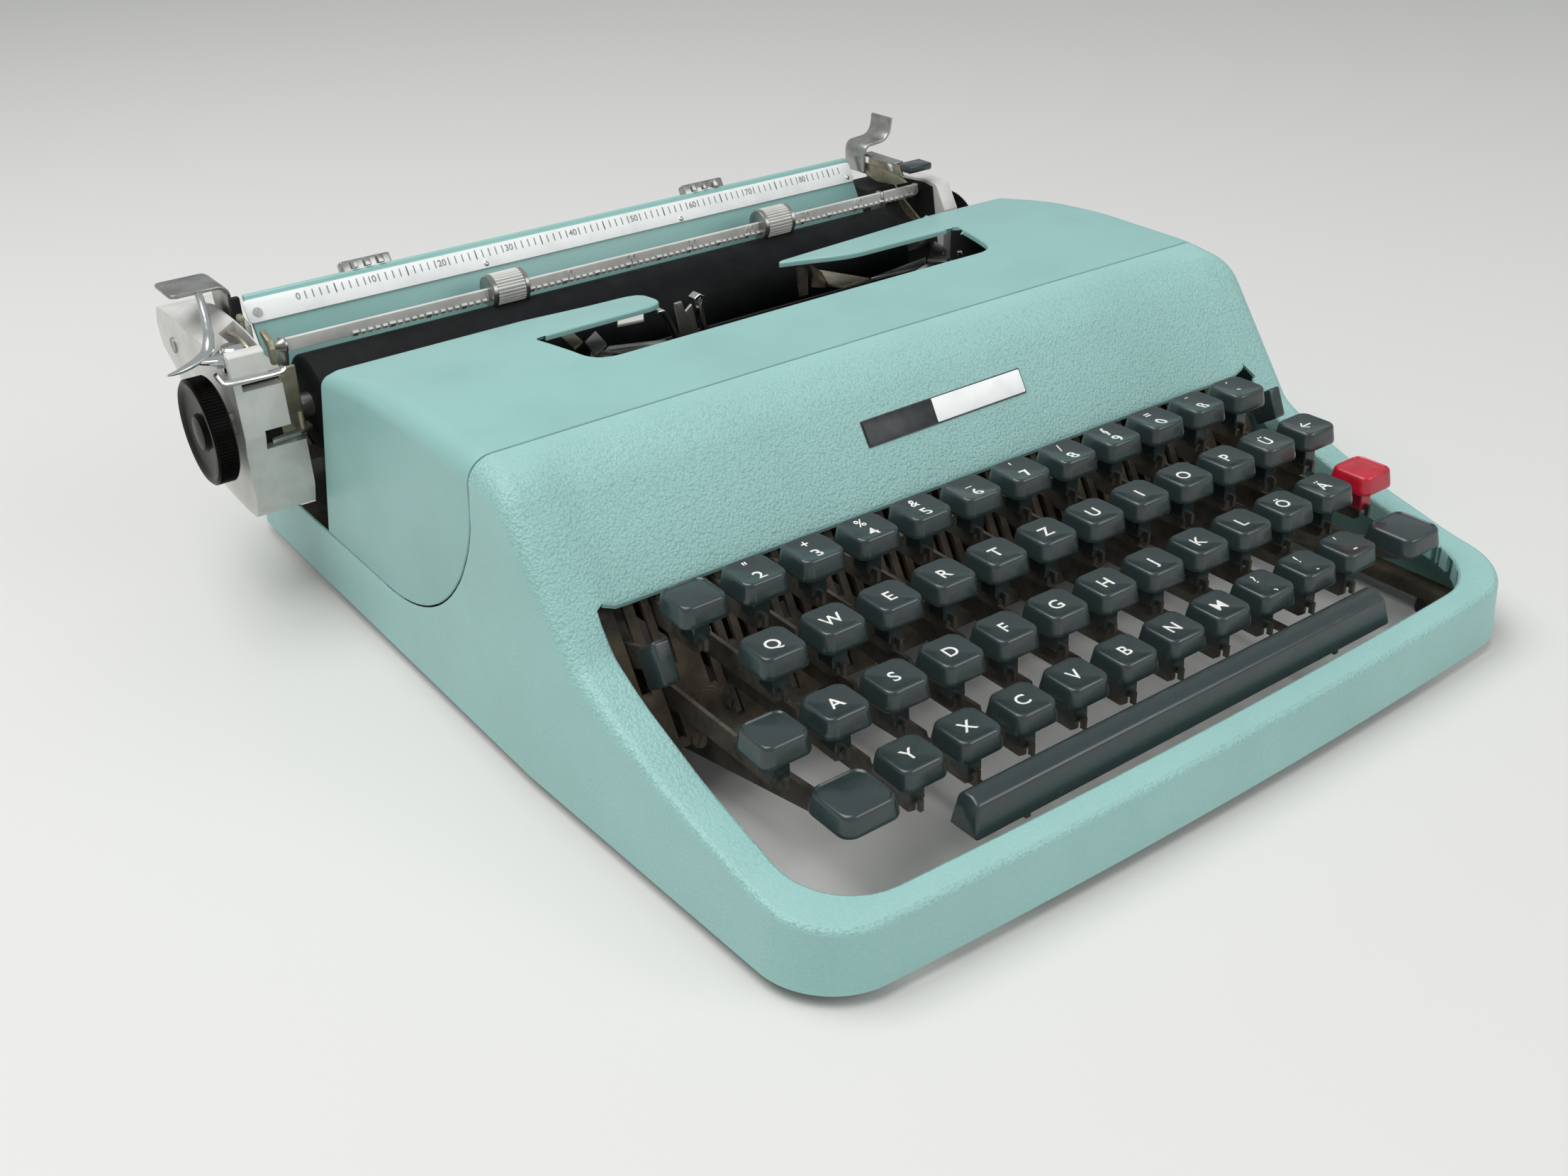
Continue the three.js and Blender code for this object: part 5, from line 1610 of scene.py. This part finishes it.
def basket_ends():
    """The outermost type bars and their rests, which show in the corners of the opening."""
    return [
        flat_part("left_slug", [(-60.9, 223.9), (-52.9, 230.6), (-56.1, 218.1), (-64, 211.9)], 82, NICKEL),
        flat_part("left_bar", [(-58.5, 217.1), (-53.8, 221.3), (-36, 214), (-38, 210)], 79.6, NICKEL),
        flat_part("left_rest", [(-64.2, 235.1), (-59.3, 234.3), (-61, 224.9), (-66.1, 221.7)], 82, ZINC),
        flat_part("right_slug", [(76.9, 214.1), (93.6, 229.3), (90.8, 219.4), (82.4, 209.4)], 82, NICKEL),
        flat_part("right_bar", [(54.1, 218.7), (84.7, 223.8), (78.3, 216.4)], 79, NICKEL),
        flat_part("right_pin", [(91.6, 214.3), (93.5, 213.8), (88.4, 207.3), (86.5, 207.9)], 82, CHROME),
    ]


def comb_fittings():
    """Slotted bolts on the comb's left end, and the lint that has gathered round them."""
    heads = []
    for place, radius, turn in (((-109.6, 94.2, 29.0), 2.7, 0.3), ((-97.6, 92.4, 25.6), 1.5, 1.1),
                                ((-110.4, 89.7, 20.5), 2.2, 0.8)):
        heads.append(grown("comb_bolt", SCREWS, [place], Radius=radius, Height=1.6,
                           Facing=(0, -0.864, 0.503), Slot_Turn=turn, Material=DUSTY))
    corners = [(-113.5, 94.2, 28), (-97, 94.2, 28), (-97, 109.3, 54), (-113.5, 109.3, 54)]
    fibres = grown("comb_lint", LINT_FIELD, corners, [(0, 1, 2, 3)], Density=0.07, Length=3.2, Seed=4,
                   Material=LINT)
    settle(merged("comb_fittings", heads), "case")
    settle(fibres, "case")


type_basket()
settle(merged("printing_point", printing_point() + basket_ends()), "case")
comb_fittings()
paper_table()
platen()
paper_bail()
bail_rollers()
carriage_frame()
return_lever()
paper_release()


# ------------------------------------------------------------------ stage


FLOOR_REACH = 9000.0
CAMERA_PLACE = Vector((-297.3, -212.0, 269.5))
LENS, SENSOR_WIDTH = 36.86, 36.0


def build_stage():
    """A wide floor of pale matt board, under an even sky."""
    reach = FLOOR_REACH
    corners = [(-reach, -reach, 0), (reach, -reach, 0), (reach, reach, 0), (-reach, reach, 0)]
    board = new_material("pale_board", "#d9d8d4", 0.8)[0]
    floor = new_piece("floor", corners, [(0, 1, 2, 3)], board)
    floor.data.transform(TO_FRAME)
    world = bpy.data.worlds.new("studio")
    bpy.context.scene.world = world
    world.use_nodes = True
    sky = world.node_tree.nodes["Background"]
    sky.inputs["Color"].default_value = linear("#e3e7ea")
    sky.inputs["Strength"].default_value = 0.55


def soft_light(name, place, aim, size, watts):
    """A rectangular softbox that points at a place, both in the frame's metres."""
    data = bpy.data.lights.new(name, "AREA")
    data.shape = "RECTANGLE"
    data.size, data.size_y = size
    data.energy = watts
    light = bpy.data.objects.new(name, data)
    light.location = Vector(place)
    light.rotation_euler = (Vector(aim) - Vector(place)).to_track_quat("-Z", "Y").to_euler()
    bpy.context.scene.collection.objects.link(light)


def build_camera():
    """The camera, left of the typist and above, looking across the keyboard."""
    azimuth, elevation, roll = radians(35.67), radians(29.79), radians(-1.72)
    forward = Vector((sin(azimuth) * cos(elevation), cos(azimuth) * cos(elevation), -sin(elevation)))
    level = Vector((cos(azimuth), -sin(azimuth), 0))
    upright = level.cross(forward)
    right = level * cos(roll) + upright * sin(roll)
    up = upright * cos(roll) - level * sin(roll)
    data = bpy.data.cameras.new("camera")
    data.sensor_width = SENSOR_WIDTH
    data.lens = LENS
    data.clip_start = 0.01
    camera = bpy.data.objects.new("camera", data)
    turn = Matrix((right, up, -forward)).transposed().to_4x4()
    camera.matrix_world = Matrix.Translation(TO_FRAME @ CAMERA_PLACE) @ turn
    bpy.context.scene.collection.objects.link(camera)
    bpy.context.scene.camera = camera


build_stage()
soft_light("overhead", (-0.5, 0.1, 1.3), (0, 0.0, 0), (1.3, 1.0), 16)
soft_light("front_fill", (0.7, -1.3, 0.9), (0, 0, 0.05), (1.2, 0.8), 7)
build_camera()
bpy.context.scene.view_settings.view_transform = "Standard"
